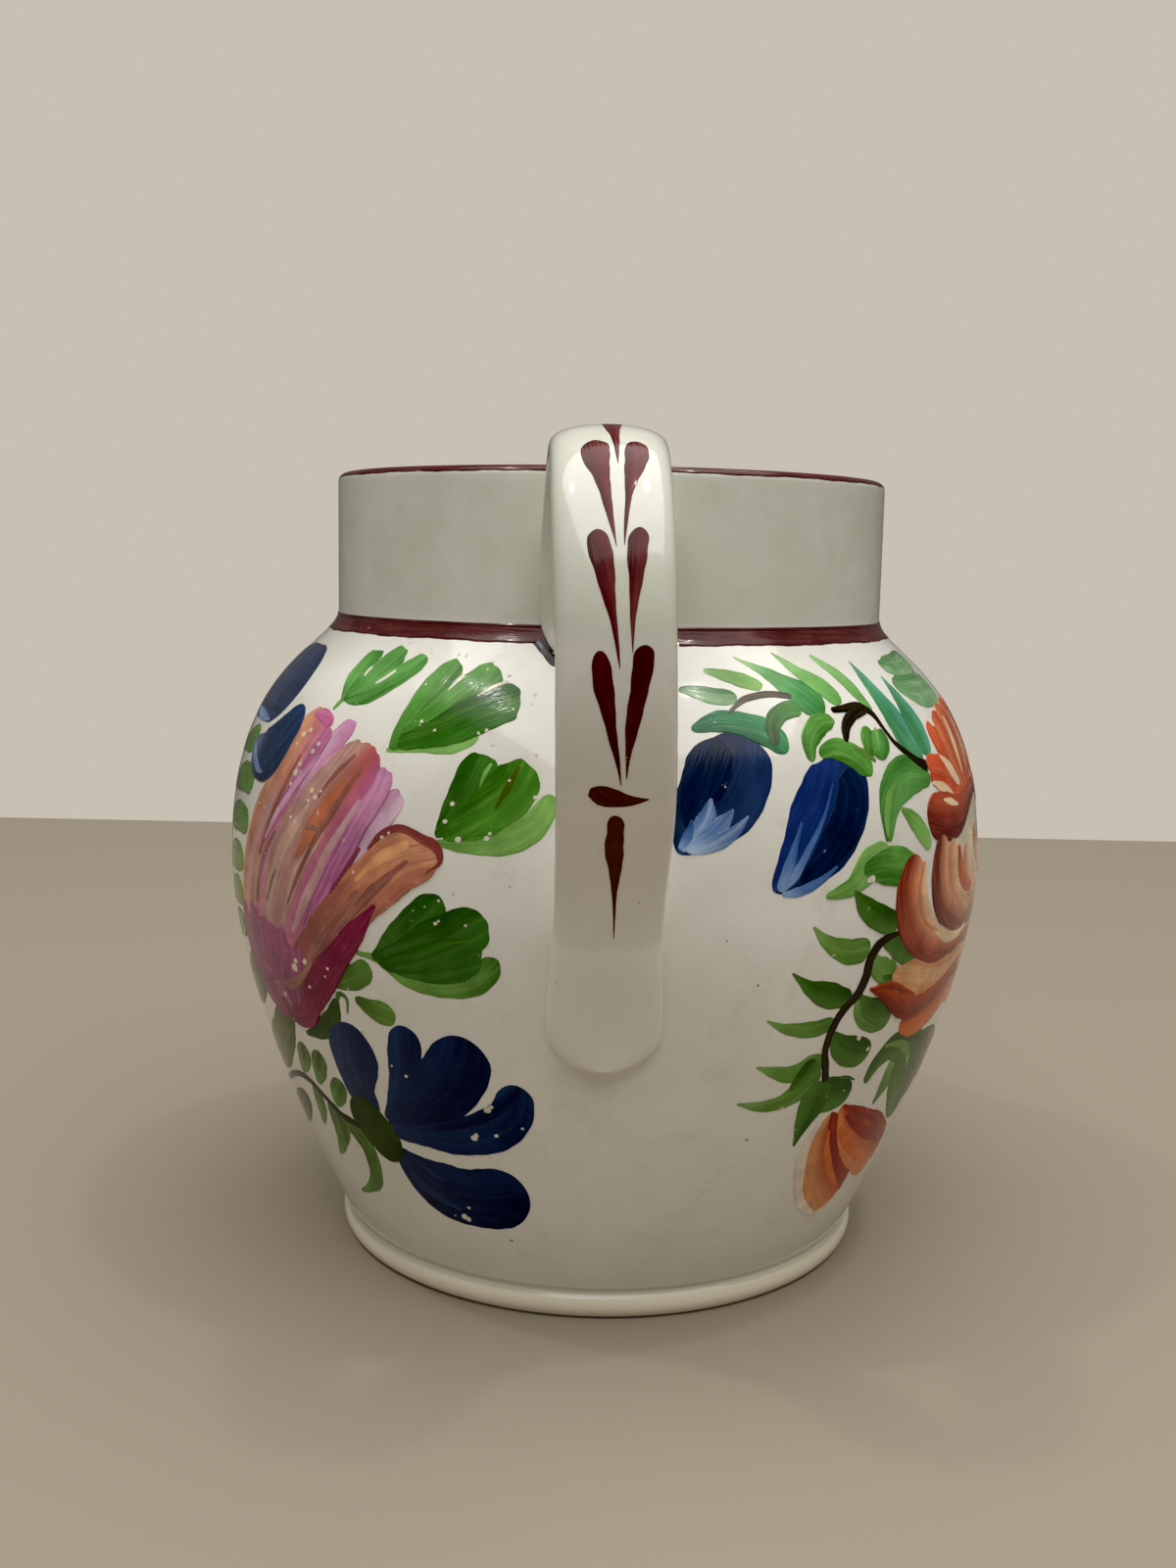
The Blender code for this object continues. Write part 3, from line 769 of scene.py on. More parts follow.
def line_sheet(name, turn, share, place, finish, seed):
    """A long painted line: a grid of turns and shares of its width, rim turned down to the glaze."""
    phase = np.random.default_rng(seed).uniform(0.0, 6.0)
    turn, share = turn[:, None] + 0.0 * share, share + 0.0 * turn[:, None]
    run = turn * CHART
    wave = sum(tall * np.sin(run * quick + late) for tall, quick, late in LINE_WAVES)
    lift = np.where((share < 0.0) | (share > 1.0), -EDGE_SINK, ENAMEL_BASE + ENAMEL_PILE)
    grid = place(turn, np.clip(share, 0.0, 1.0), wave, lift)
    thin = 0.5 + 0.5 * np.sin(run * 0.11 + phase) * np.sin(run * 0.37)
    edge = np.abs(np.clip(share, 0.0, 1.0) - 0.5) * 2.0
    tone = (0.25 * thin + 0.35 * edge ** 3)[..., None]
    colour = np.array(MAROON) * (1.0 - tone) + np.array(MAROON_DEEP) * tone
    painted = np.dstack((colour, edge ** 6)).reshape(-1, 4)
    streaked = np.tile((*MAROON_THIN, 0.35), (turn.size, 1))
    brush = np.column_stack((run.ravel(), (share * 3.0).ravel()))
    faces = squares(np.arange(turn.size).reshape(turn.shape))[:, ::-1]
    return enamel_mesh(name, grid.reshape(-1, 3), faces, painted, streaked, brush, finish)


def neck_line_place(turn, share, wave, lift):
    """The band lies on the last of the shoulder, just touches the neck and pools in the corner between."""
    rise = BAND_FROM + wave * (1.0 - share) + (BAND_TO - BAND_FROM) * share
    pool = CORNER_POOL * np.exp(-((rise - NECK_CORNER) / CORNER_WIDTH) ** 2) * (lift > 0.0)
    return on_clay(turn * CHART, rise, lift + pool)


def lip_line_place(turn, share, wave, lift):
    """The fine line starts low on the rolled lip, goes over it and ends just inside."""
    lip = NECK_WALL / 2
    angle = np.radians(LIP_FROM - 22.0 * wave * (1.0 - share) + (LIP_TO - LIP_FROM) * share)
    radius = NECK_RADIUS - lip + (lip + lift) * np.cos(angle)
    height = RIM_HEIGHT - lip + (lip + lift) * np.sin(angle)
    radius, height = pulled(radius, height, turn)
    return round_the_axis(radius, height, turn)


maroon_enamel = enamel("maroon_enamel", worn=0.012, hair=0.6)
line_sheet("neck_line", np.linspace(BAND_STARTS, BAND_STOPS, 480), NECK_SHARES, neck_line_place,
           maroon_enamel, 3)
line_sheet("lip_line", np.linspace(0.0, 360.0, 769), LIP_SHARES, lip_line_place, maroon_enamel, 4)
# The line round the strap's root, made near black as painted shadow in the crevice beside it.
root_line_and_shade = paint(BLACK_MAROON_SHADE, ink(24, 14, 15), streak=ink(90, 70, 64), strength=0.12)
enamel_piece("root_line_and_shade", [
    (root_line_and_shade, [(-14.8, 127.2, 1.6), (-13.2, 126.6, 3.0), (-11.8, 125.4, 3.6), (-10.4, 123.7, 3.6),
                 (-9.0, 121.8, 3.2), (-7.8, 119.8, 2.4)]),
], maroon_enamel, seed=5)

# The drops on the strap
# Husk drops in maroon, in pairs down the strap, each pressed down at its round head and
# drawn out to a hair: three pairs, a dash and one last drop.
DROP = paint(ink(98, 36, 40), ink(82, 26, 32), left=ink(80, 28, 32), right=ink(104, 46, 46),
             streak=ink(134, 76, 72), strength=0.24)
DROP_LOW = paint(ink(78, 22, 26), ink(64, 14, 20), streak=ink(104, 48, 46), strength=0.18)

outer_run = strap - np.column_stack((strap_aim[:, 1], -strap_aim[:, 0])) * strap_thick[:, None] / 2
outer_run = np.concatenate(([0.0], np.cumsum(np.linalg.norm(np.diff(outer_run, axis=0), axis=1))))
outer_crest = np.interp(crest_at, strap_run, outer_run)


def on_strap(x, down, lift):
    """Places on the strap's outer face: x across it, down from its crest along the face."""
    run = np.interp(outer_crest + down, outer_run, strap_run)
    half = np.interp(run, strap_run, strap_width) / 2
    across = np.clip((x - np.interp(run, strap_run, strap_side)) / half, -0.97, 0.97)
    proud = (1.0 - np.abs(across) ** SECTION_POWER) ** (1.0 / SECTION_POWER)
    return strap_places(run, across, proud, lift)


enamel_piece("strap_drops", [
    (DROP, [(-0.2, -14.0, 2.4), (-0.2, -6.0, 3.0), (-0.2, 0.0, 2.9), (-0.1, 5.0, 2.7), (0.35, 10.0, 1.6),
            (0.65, 14.5, 0.8), (0.9, 18.7, 0.1)]),
    (DROP, [(-2.5, 12.7, 1.9), (-2.45, 14.1, 3.5), (-2.3, 16.3, 3.9), (-1.6, 20.0, 3.0), (-0.7, 25.0, 1.5),
            (0.3, 30.0, 0.6), (0.9, 33.0, 0.1)]),
    (DROP, [(3.6, 12.7, 1.8), (3.55, 14.1, 3.1), (3.4, 16.3, 3.4), (3.1, 20.0, 2.5), (2.45, 25.0, 1.0),
            (2.1, 29.5, 0.5), (2.0, 32.8, 0.1)]),
    (DROP, [(-1.8, 30.5, 1.6), (-1.6, 31.9, 2.9), (-1.3, 33.8, 3.1), (-0.4, 38.0, 2.4), (0.6, 42.5, 1.1),
            (1.3, 47.0, 0.5), (1.7, 49.8, 0.1)]),
    (DROP, [(4.1, 30.0, 1.5), (4.05, 31.3, 2.6), (3.9, 33.2, 2.8), (3.55, 37.5, 1.9), (3.35, 42.0, 0.9),
            (3.4, 47.6, 0.1)]),
    (DROP_LOW, [(-1.1, 47.4, 1.4), (-0.95, 48.8, 2.4), (-0.7, 51.0, 2.6), (0.1, 55.0, 2.2), (0.9, 59.5, 1.4),
                (1.7, 63.5, 0.6), (2.25, 67.5, 0.1)]),
    (DROP_LOW, [(5.2, 46.5, 1.6), (5.05, 47.9, 2.7), (4.8, 50.0, 3.0), (4.0, 55.0, 2.2), (3.4, 59.5, 1.5),
                (3.1, 63.0, 0.7), (3.0, 66.3, 0.1)]),
    (DROP_LOW, [(-2.1, 68.4, 1.4), (-0.6, 69.3, 3.3), (1.6, 70.0, 3.2), (3.8, 70.3, 2.0), (6.3, 70.2, 0.15)]),
    (DROP_LOW, [(-2.3, 69.2, 0.9), (-1.2, 69.8, 1.5), (0.5, 70.2, 1.2)]),
    (DROP_LOW, [(1.5, 73.2, 1.4), (1.55, 74.6, 2.3), (1.6, 77.0, 2.6), (1.65, 81.0, 2.75), (1.65, 85.0, 1.9),
                (1.75, 90.0, 0.8), (1.8, 94.5, 0.4), (1.8, 99.2, 0.08)]),
], maroon_enamel, place=on_strap, chart=1.0, downwards=True, seed=6)

# The leaves
# Most leaves are two or three dabs of green that start on one point, each pressed down
# at the leaf's lobe: a dark green, a yellow-green mixed on the brush, and a cold green.
LEFT_AXIS, RIGHT_AXIS = -77.0, 73.0
LEAF_DEEP = paint(ink(44, 92, 28), ink(54, 108, 36), left=ink(38, 82, 24), streak=ink(94, 142, 66),
                  strength=0.34, fray=1.2, tip=0.42)
LEAF_DARK = paint(ink(46, 98, 26), ink(58, 118, 36), left=ink(38, 86, 18), streak=ink(102, 150, 62),
                  strength=0.34, fray=1.4, tip=0.42)
LEAF = paint(ink(62, 120, 40), ink(90, 150, 64), ink(86, 146, 60), right=ink(58, 116, 36),
             streak=ink(134, 184, 98), strength=0.42, fray=1.6, tip=0.42)
LEAF_MID = paint(ink(54, 114, 28), ink(76, 138, 44), ink(72, 132, 40), left=ink(46, 102, 20),
                 streak=ink(124, 170, 72), strength=0.36, fray=1.4, tip=0.42)
LEAF_FRESH = paint(ink(72, 130, 54), ink(98, 160, 82), ink(90, 154, 74), right=ink(66, 126, 50),
                   streak=ink(140, 192, 116), strength=0.38, fray=1.6, tip=0.42)
LEAF_LIGHT = paint(ink(100, 156, 66), ink(134, 184, 98), streak=ink(164, 204, 126), strength=0.40, fray=0.7)
LEAF_TURN = paint(ink(120, 168, 84), ink(108, 156, 72), ink(60, 112, 30), streak=ink(140, 180, 100),
                  strength=0.36, fray=0.7)
LEAF_COLD = paint(ink(50, 122, 84), ink(66, 142, 92), right=ink(42, 108, 66), streak=ink(124, 182, 136),
                  strength=0.36, fray=0.6)
LEAF_SAGE = paint(ink(110, 156, 106), ink(128, 170, 122), left=ink(86, 134, 80), streak=ink(176, 202, 166),
                  strength=0.40, fray=0.6)
LEAF_WARM = paint(ink(72, 110, 40), ink(98, 140, 60), streak=ink(134, 168, 92), strength=0.34, fray=0.6)
OLIVE = paint(ink(64, 82, 14), ink(80, 100, 26), streak=ink(120, 132, 54), strength=0.32, fray=0.6)
MOSS = paint(ink(32, 60, 8), ink(44, 76, 14), streak=ink(84, 110, 38), strength=0.30, fray=0.6)
GREY_GREEN = paint(ink(52, 76, 50), ink(74, 112, 64), ink(84, 142, 70), streak=ink(130, 160, 110),
                   strength=0.30, fray=0.5)
BARE = paint(ink(228, 222, 206), streak=ink(214, 208, 192), strength=0.25)

leaf_enamel = enamel("leaf_enamel", worn=0.030)
leaf_one = [
    (LEAF_LIGHT, [(-45.0, 107.8, 0.6), (-44.4, 109.0, 1.2), (-43.6, 110.4, 1.0)]),
    (LEAF_FRESH, [(-43.9, 109.6, 1.6), (-43.7, 114.0, 6.4), (-44.0, 118.0, 6.2), (-43.9, 122.4, 4.4)]),
    (LEAF_FRESH, [(-43.6, 109.8, 2.6), (-41.0, 113.4, 8.0), (-39.0, 118.0, 7.4), (-37.2, 122.9, 4.8)]),
    (LEAF_FRESH, [(-43.2, 110.0, 2.2), (-39.0, 112.2, 5.4), (-35.0, 116.0, 5.8), (-31.2, 120.9, 3.6)]),
    (BARE, [(-42.4, 115.1, 0.5), (-42.3, 116.6, 1.0), (-42.0, 117.3, 0.7)]),
    (BARE, [(-38.8, 113.7, 0.4), (-37.6, 115.0, 0.9), (-36.2, 116.9, 0.7)]),
]
leaf_two = [
    (LEAF_LIGHT, [(-31.4, 101.8, 0.8), (-26.0, 102.8, 2.2), (-20.5, 104.0, 3.2), (-17.4, 105.6, 2.4)]),
    (LEAF, [(-31.0, 102.2, 1.5), (-27.6, 105.5, 6.6), (-23.0, 110.0, 9.6), (-20.0, 114.0, 8.5)]),
    (LEAF, [(-30.8, 102.2, 1.2), (-29.0, 107.0, 5.0), (-27.2, 112.5, 7.0), (-25.0, 120.8, 5.6)]),
    (LEAF_MID, [(-24.6, 107.2, 2.4), (-20.2, 111.4, 4.0), (-16.4, 114.8, 2.8)]),
    (LEAF, [(-29.6, 103.4, 2.5), (-24.5, 108.0, 8.0), (-20.8, 113.5, 8.6), (-17.1, 119.3, 6.2)]),
    (LEAF_DARK, [(-29.8, 103.0, 2.2), (-23.5, 105.9, 6.2), (-17.4, 110.2, 8.4), (-11.8, 113.0, 6.4)]),
    (BARE, [(-24.5, 113.4, 0.3), (-23.9, 115.0, 0.8), (-22.9, 117.0, 0.8)]),
    (BARE, [(-19.4, 112.6, 0.2), (-17.4, 114.6, 0.7), (-15.2, 115.9, 0.7)]),
]
leaf_three = [
    (LEAF_LIGHT, [(-21.8, 87.6, 0.8), (-17.0, 87.4, 2.8), (-12.4, 88.8, 4.8), (-8.8, 91.4, 5.0),
                  (-6.4, 96.2, 2.8)]),
    (LEAF_DARK, [(-21.7, 88.4, 1.0), (-18.9, 93.0, 6.2), (-17.1, 98.0, 7.4), (-15.9, 103.0, 5.8)]),
    (LEAF_MID, [(-21.0, 88.8, 2.0), (-16.0, 91.6, 6.4), (-12.8, 94.8, 8.0)]),
    (LEAF_MID, [(-20.0, 89.2, 2.6), (-15.4, 93.0, 7.6), (-12.0, 97.0, 8.6), (-10.2, 101.9, 6.4)]),
    (OLIVE, [(-13.9, 93.6, 0.4), (-12.4, 97.4, 1.3), (-11.2, 100.7, 0.5)]),
    (LEAF_LIGHT, [(-16.3, 96.8, 0.3), (-15.9, 98.8, 0.8), (-15.1, 100.8, 0.5)]),
]
leaf_four = [
    (LEAF_TURN, [(-34.0, 67.4, 0.7), (-30.6, 67.0, 1.6), (-26.0, 64.4, 2.8), (-20.5, 63.4, 3.4),
                 (-15.6, 65.8, 4.6), (-12.8, 69.6, 3.4)]),
    (LEAF_DEEP, [(-30.4, 66.8, 2.0), (-24.5, 67.6, 7.4), (-19.0, 69.8, 10.0), (-14.8, 71.8, 8.0)]),
    (LEAF_DEEP, [(-31.2, 67.0, 1.2), (-27.2, 70.0, 5.8), (-23.8, 74.2, 6.8), (-20.3, 78.6, 4.8)]),
    (LEAF_DEEP, [(-29.4, 66.8, 2.4), (-22.6, 70.0, 8.4), (-17.8, 73.2, 8.6), (-14.2, 76.2, 5.6)]),
    (LEAF_DARK, [(-28.6, 67.0, 0.4), (-24.0, 69.4, 1.4), (-19.4, 71.6, 1.2), (-16.4, 72.4, 0.3)]),
]
left_chips = specks(BARE, (
    (-21.3, 74.4, 0.9), (-20.9, 74.9, 0.6), (-17.2, 74.6, 0.6), (-19.8, 93.9, 1.0), (-20.6, 91.0, 1.1),
    (-18.6, 88.3, 1.4), (-14.8, 88.8, 1.2), (-14.4, 89.6, 0.7), (-8.8, 95.7, 0.9), (-16.6, 106.4, 0.8),
    (-15.4, 117.2, 1.0), (-26.9, 107.2, 0.8),
    (-12.4, 98.2, 0.6), (-24.4, 105.8, 0.7), (-13.4, 110.4, 0.6), (-24.2, 121.2, 1.0), (-25.8, 121.4, 0.7),
    (-19.0, 120.2, 0.8), (-10.6, 113.4, 0.9), (-10.9, 111.6, 0.7), (-37.6, 123.4, 0.8), (-31.4, 121.6, 0.8),
    (-44.6, 122.8, 0.7), (-15.4, 103.9, 0.7), (-9.2, 102.6, 0.8), (-18.9, 79.6, 0.8), (-20.9, 78.2, 0.6)))
small_left = [
    (LEAF_WARM, [(-38.8, 60.2, 1.4), (-35.4, 62.4, 4.4), (-31.4, 65.3, 4.2)]),
    (LEAF_WARM, [(-35.2, 58.8, 1.4), (-31.6, 57.2, 4.4), (-28.2, 56.8, 3.8)]),
    (MOSS, [(-48.8, 48.2, 0.8), (-44.2, 50.2, 3.8), (-40.8, 53.4, 4.2), (-38.8, 57.8, 1.4)]),
    (LEAF_WARM, [(-38.9, 57.4, 1.0), (-38.3, 58.9, 1.0), (-37.0, 58.6, 0.9), (-37.2, 55.4, 0.4)]),
    (LEAF_WARM, [(-50.6, 45.0, 4.0), (-52.4, 42.0, 4.8), (-55.0, 38.2, 1.4)]),
    (LEAF_WARM, [(-46.4, 45.0, 4.4), (-48.0, 41.4, 4.8), (-50.2, 37.4, 1.4)]),
    (LEAF_WARM, [(-42.6, 40.2, 3.6), (-44.6, 37.2, 4.8), (-46.4, 34.0, 1.8)]),
    (LEAF_WARM, [(-51.8, 36.4, 3.4), (-52.6, 31.5, 4.2), (-54.4, 26.8, 1.0)]),
    (LEAF_WARM, [(-48.6, 34.2, 3.6), (-47.6, 29.6, 6.4), (-49.4, 25.0, 3.8), (-52.4, 21.0, 0.8)]),
    (LEAF_WARM, [(-45.8, 31.8, 3.2), (-42.6, 29.2, 5.2), (-40.9, 24.0, 4.2), (-42.4, 18.8, 3.6),
                 (-46.0, 15.4, 2.2), (-50.0, 13.2, 0.5)]),
    (OLIVE, [(-47.4, 33.6, 0.6), (-46.6, 29.0, 2.2), (-48.0, 25.4, 0.8)]),
    (OLIVE, [(-44.4, 29.6, 0.5), (-42.4, 25.4, 1.6), (-42.8, 20.6, 0.8)]),
    (OLIVE, [(-51.0, 45.2, 0.8), (-52.0, 43.2, 1.8), (-53.2, 41.0, 0.5)]),
    (OLIVE, [(-46.6, 45.2, 0.8), (-47.6, 43.0, 2.0), (-48.8, 40.4, 0.5)]),
]
broad_left = [
    (MOSS, [(-58.6, 60.0, 3.4), (-62.0, 56.8, 8.0), (-67.5, 52.6, 9.0), (-76.0, 49.0, 3.0)]),
    (OLIVE, [(-52.0, 50.4, 2.6), (-55.6, 47.8, 7.4), (-60.4, 43.0, 9.0), (-67.0, 38.4, 8.0),
             (-74.0, 36.0, 2.0)]),
    (MOSS, [(-57.4, 32.0, 2.6), (-61.4, 29.0, 6.0), (-67.0, 25.6, 6.4), (-73.0, 21.0, 1.6)]),
]
left_chain = [(MOSS, [(-76.4, 104.0, 0.8), (-77.0, 92.0, 1.1), (-77.2, 72.0, 1.3), (-77.0, 52.0, 1.2),
                      (-77.0, 34.0, 1.0), (-77.0, 24.0, 0.6)])]
for leaf_rise, leaf_end in ((99.0, -65.4), (91.8, -61.4), (84.4, -61.4), (77.0, -63.2), (70.4, -64.0),
                            (63.8, -65.4)):
    left_chain.append((LEAF_WARM, [(-76.8, leaf_rise - 3.2, 0.8), (-72.0, leaf_rise - 0.6, 4.8),
                                   (leaf_end - 3.4, leaf_rise + 0.2, 5.6), (leaf_end, leaf_rise, 4.8)]))
left_leaves = small_left + leaf_one + leaf_two + leaf_three + leaf_four
enamel_piece("left_leaves", broad_left + left_chain + left_leaves + left_chips, leaf_enamel, seed=11)
enamel_piece("left_leaves_far", copied(broad_left + left_chain[1:] + left_leaves, mirror_at=LEFT_AXIS),
             leaf_enamel, seed=31)

# The stems
# Thin lines of near-black, drawn with the point of the brush, that tie leaves, buds and
# flowers into one spray on each side.
STEM = paint(ink(22, 16, 10), ink(32, 24, 18), streak=ink(84, 72, 54), strength=0.22)
STEM_GREY = paint(ink(92, 82, 72), ink(62, 54, 48), streak=ink(140, 130, 116), strength=0.30)
stem_enamel = enamel("stem_enamel", worn=0.01)
left_stems = [
    (STEM, [(-72.0, 30.0, 0.8), (-66.0, 33.0, 1.2), (-60.0, 35.8, 1.3), (-56.6, 37.0, 1.3),
            (-53.4, 36.8, 1.3), (-49.6, 34.8, 1.3), (-46.0, 32.2, 1.4), (-41.2, 31.3, 1.6)]),
]
right_stems = [
    (STEM_GREY, [(17.8, 110.4, 0.6), (20.4, 112.8, 1.2), (24.0, 113.9, 1.3), (29.0, 113.4, 1.2)]),
    (STEM, [(35.3, 110.4, 1.0), (38.4, 110.5, 1.5), (41.6, 110.7, 1.7), (43.6, 109.3, 1.3),
            (44.6, 106.4, 0.8), (45.8, 103.8, 0.9), (48.0, 101.6, 1.3), (50.2, 99.8, 1.5),
            (52.8, 98.4, 2.3)]),
    (STEM, [(35.8, 104.4, 0.9), (36.8, 107.0, 2.0), (39.0, 109.1, 2.2), (42.6, 110.2, 1.6)]),
    (STEM, [(44.0, 70.9, 0.7), (41.4, 70.7, 1.3), (39.2, 69.6, 1.8), (38.1, 67.4, 1.9), (37.8, 64.4, 1.9),
            (36.8, 61.6, 1.8), (34.8, 59.2, 1.7), (33.6, 56.6, 1.6), (32.9, 53.6, 1.4), (32.8, 51.2, 1.3),
            (33.5, 48.4, 1.6), (34.4, 45.0, 1.6)]),
]

# The tulip
# The great flower of the left side: long dabs of rose-brown and madder, one over the
# other, run through with orange, and a crimson base where all of them start.
PETAL_A = paint(ink(156, 94, 108), ink(188, 130, 120), ink(196, 132, 112), ink(198, 124, 106),
                ink(200, 114, 118), left=ink(214, 150, 112), right=ink(204, 120, 156),
                streak=ink(222, 174, 150), strength=0.50, reach=0.5, fray=1.2)
PALE_PINK = paint(ink(196, 136, 160), ink(224, 176, 204), ink(212, 140, 184), right=ink(200, 112, 160),
                  streak=ink(240, 216, 228), strength=0.50, reach=0.5, fray=1.0)
PINK = paint(ink(172, 84, 130), ink(196, 112, 156), streak=ink(220, 164, 192), strength=0.45, fray=1.0)
PINK_CAP = paint(ink(206, 112, 160), ink(200, 98, 146), streak=ink(228, 160, 190), strength=0.40, fray=0.8)
PETAL_B = paint(ink(160, 90, 110), ink(188, 138, 134), ink(192, 142, 130), ink(196, 118, 104),
                ink(196, 92, 90), left=ink(194, 152, 142), right=ink(194, 100, 146),
                streak=ink(160, 110, 104), strength=0.50, reach=0.5, fray=1.4)
BEIGE = paint(ink(188, 146, 136), ink(208, 170, 152), streak=ink(224, 198, 182), strength=0.50, fray=1.0)
ORANGE = paint(ink(184, 108, 82), ink(198, 116, 84), streak=ink(214, 150, 116), strength=0.50, fray=1.0)
PEACH_BROWN = paint(ink(182, 124, 108), ink(196, 134, 110), streak=ink(212, 164, 140), strength=0.50,
                    fray=1.0)
BROWN = paint(ink(142, 88, 84), ink(156, 96, 84), streak=ink(184, 134, 116), strength=0.55, fray=1.0)
GREY_STREAK = paint(ink(142, 104, 104), streak=ink(168, 134, 124), strength=0.50)
ROSE_STREAK = paint(ink(196, 146, 150), streak=ink(222, 188, 186), strength=0.50, fray=0.8)
MAGENTA = paint(ink(138, 54, 98), ink(176, 92, 140), ink(200, 132, 172), streak=ink(220, 172, 200),
                strength=0.50, fray=1.6)
WINE_LINE = paint(ink(112, 40, 70), ink(130, 64, 80), streak=ink(160, 90, 110), strength=0.40)
PETAL_C = paint(ink(188, 124, 162), ink(212, 166, 194), left=ink(190, 126, 162), right=ink(222, 186, 208),
                streak=ink(236, 214, 224), strength=0.50, fray=1.4)
PETAL_D = paint(ink(130, 50, 66), ink(146, 82, 80), ink(162, 100, 86), ink(214, 144, 110), ink(226, 162, 124),
                right=ink(190, 122, 98), streak=ink(156, 92, 78), strength=0.55, reach=0.3,
                fray=0.6)
CRIMSON = paint(ink(118, 20, 58), ink(128, 28, 66), streak=ink(164, 80, 112), strength=0.28, fray=0.8)
MADDER = paint(ink(124, 36, 76), ink(142, 58, 104), ink(158, 88, 122), streak=ink(180, 116, 146),
               strength=0.46, fray=5.0, tip=0.06)
ROSE_LOW = paint(ink(160, 92, 112), streak=ink(184, 124, 138), strength=0.40, fray=1.0)
OUTLINE = paint(ink(140, 66, 66), ink(134, 60, 58), streak=ink(180, 116, 96), strength=0.35, fray=0.6)
AMBER = paint(ink(230, 164, 114), streak=ink(240, 190, 144), strength=0.40)
FLAKE = paint(ink(236, 202, 170), ink(226, 214, 194), streak=ink(222, 212, 192), strength=0.50)
tulip_enamel = enamel("tulip_enamel", worn=0.040, hair=0.8, rubbed=(226, 196, 168))
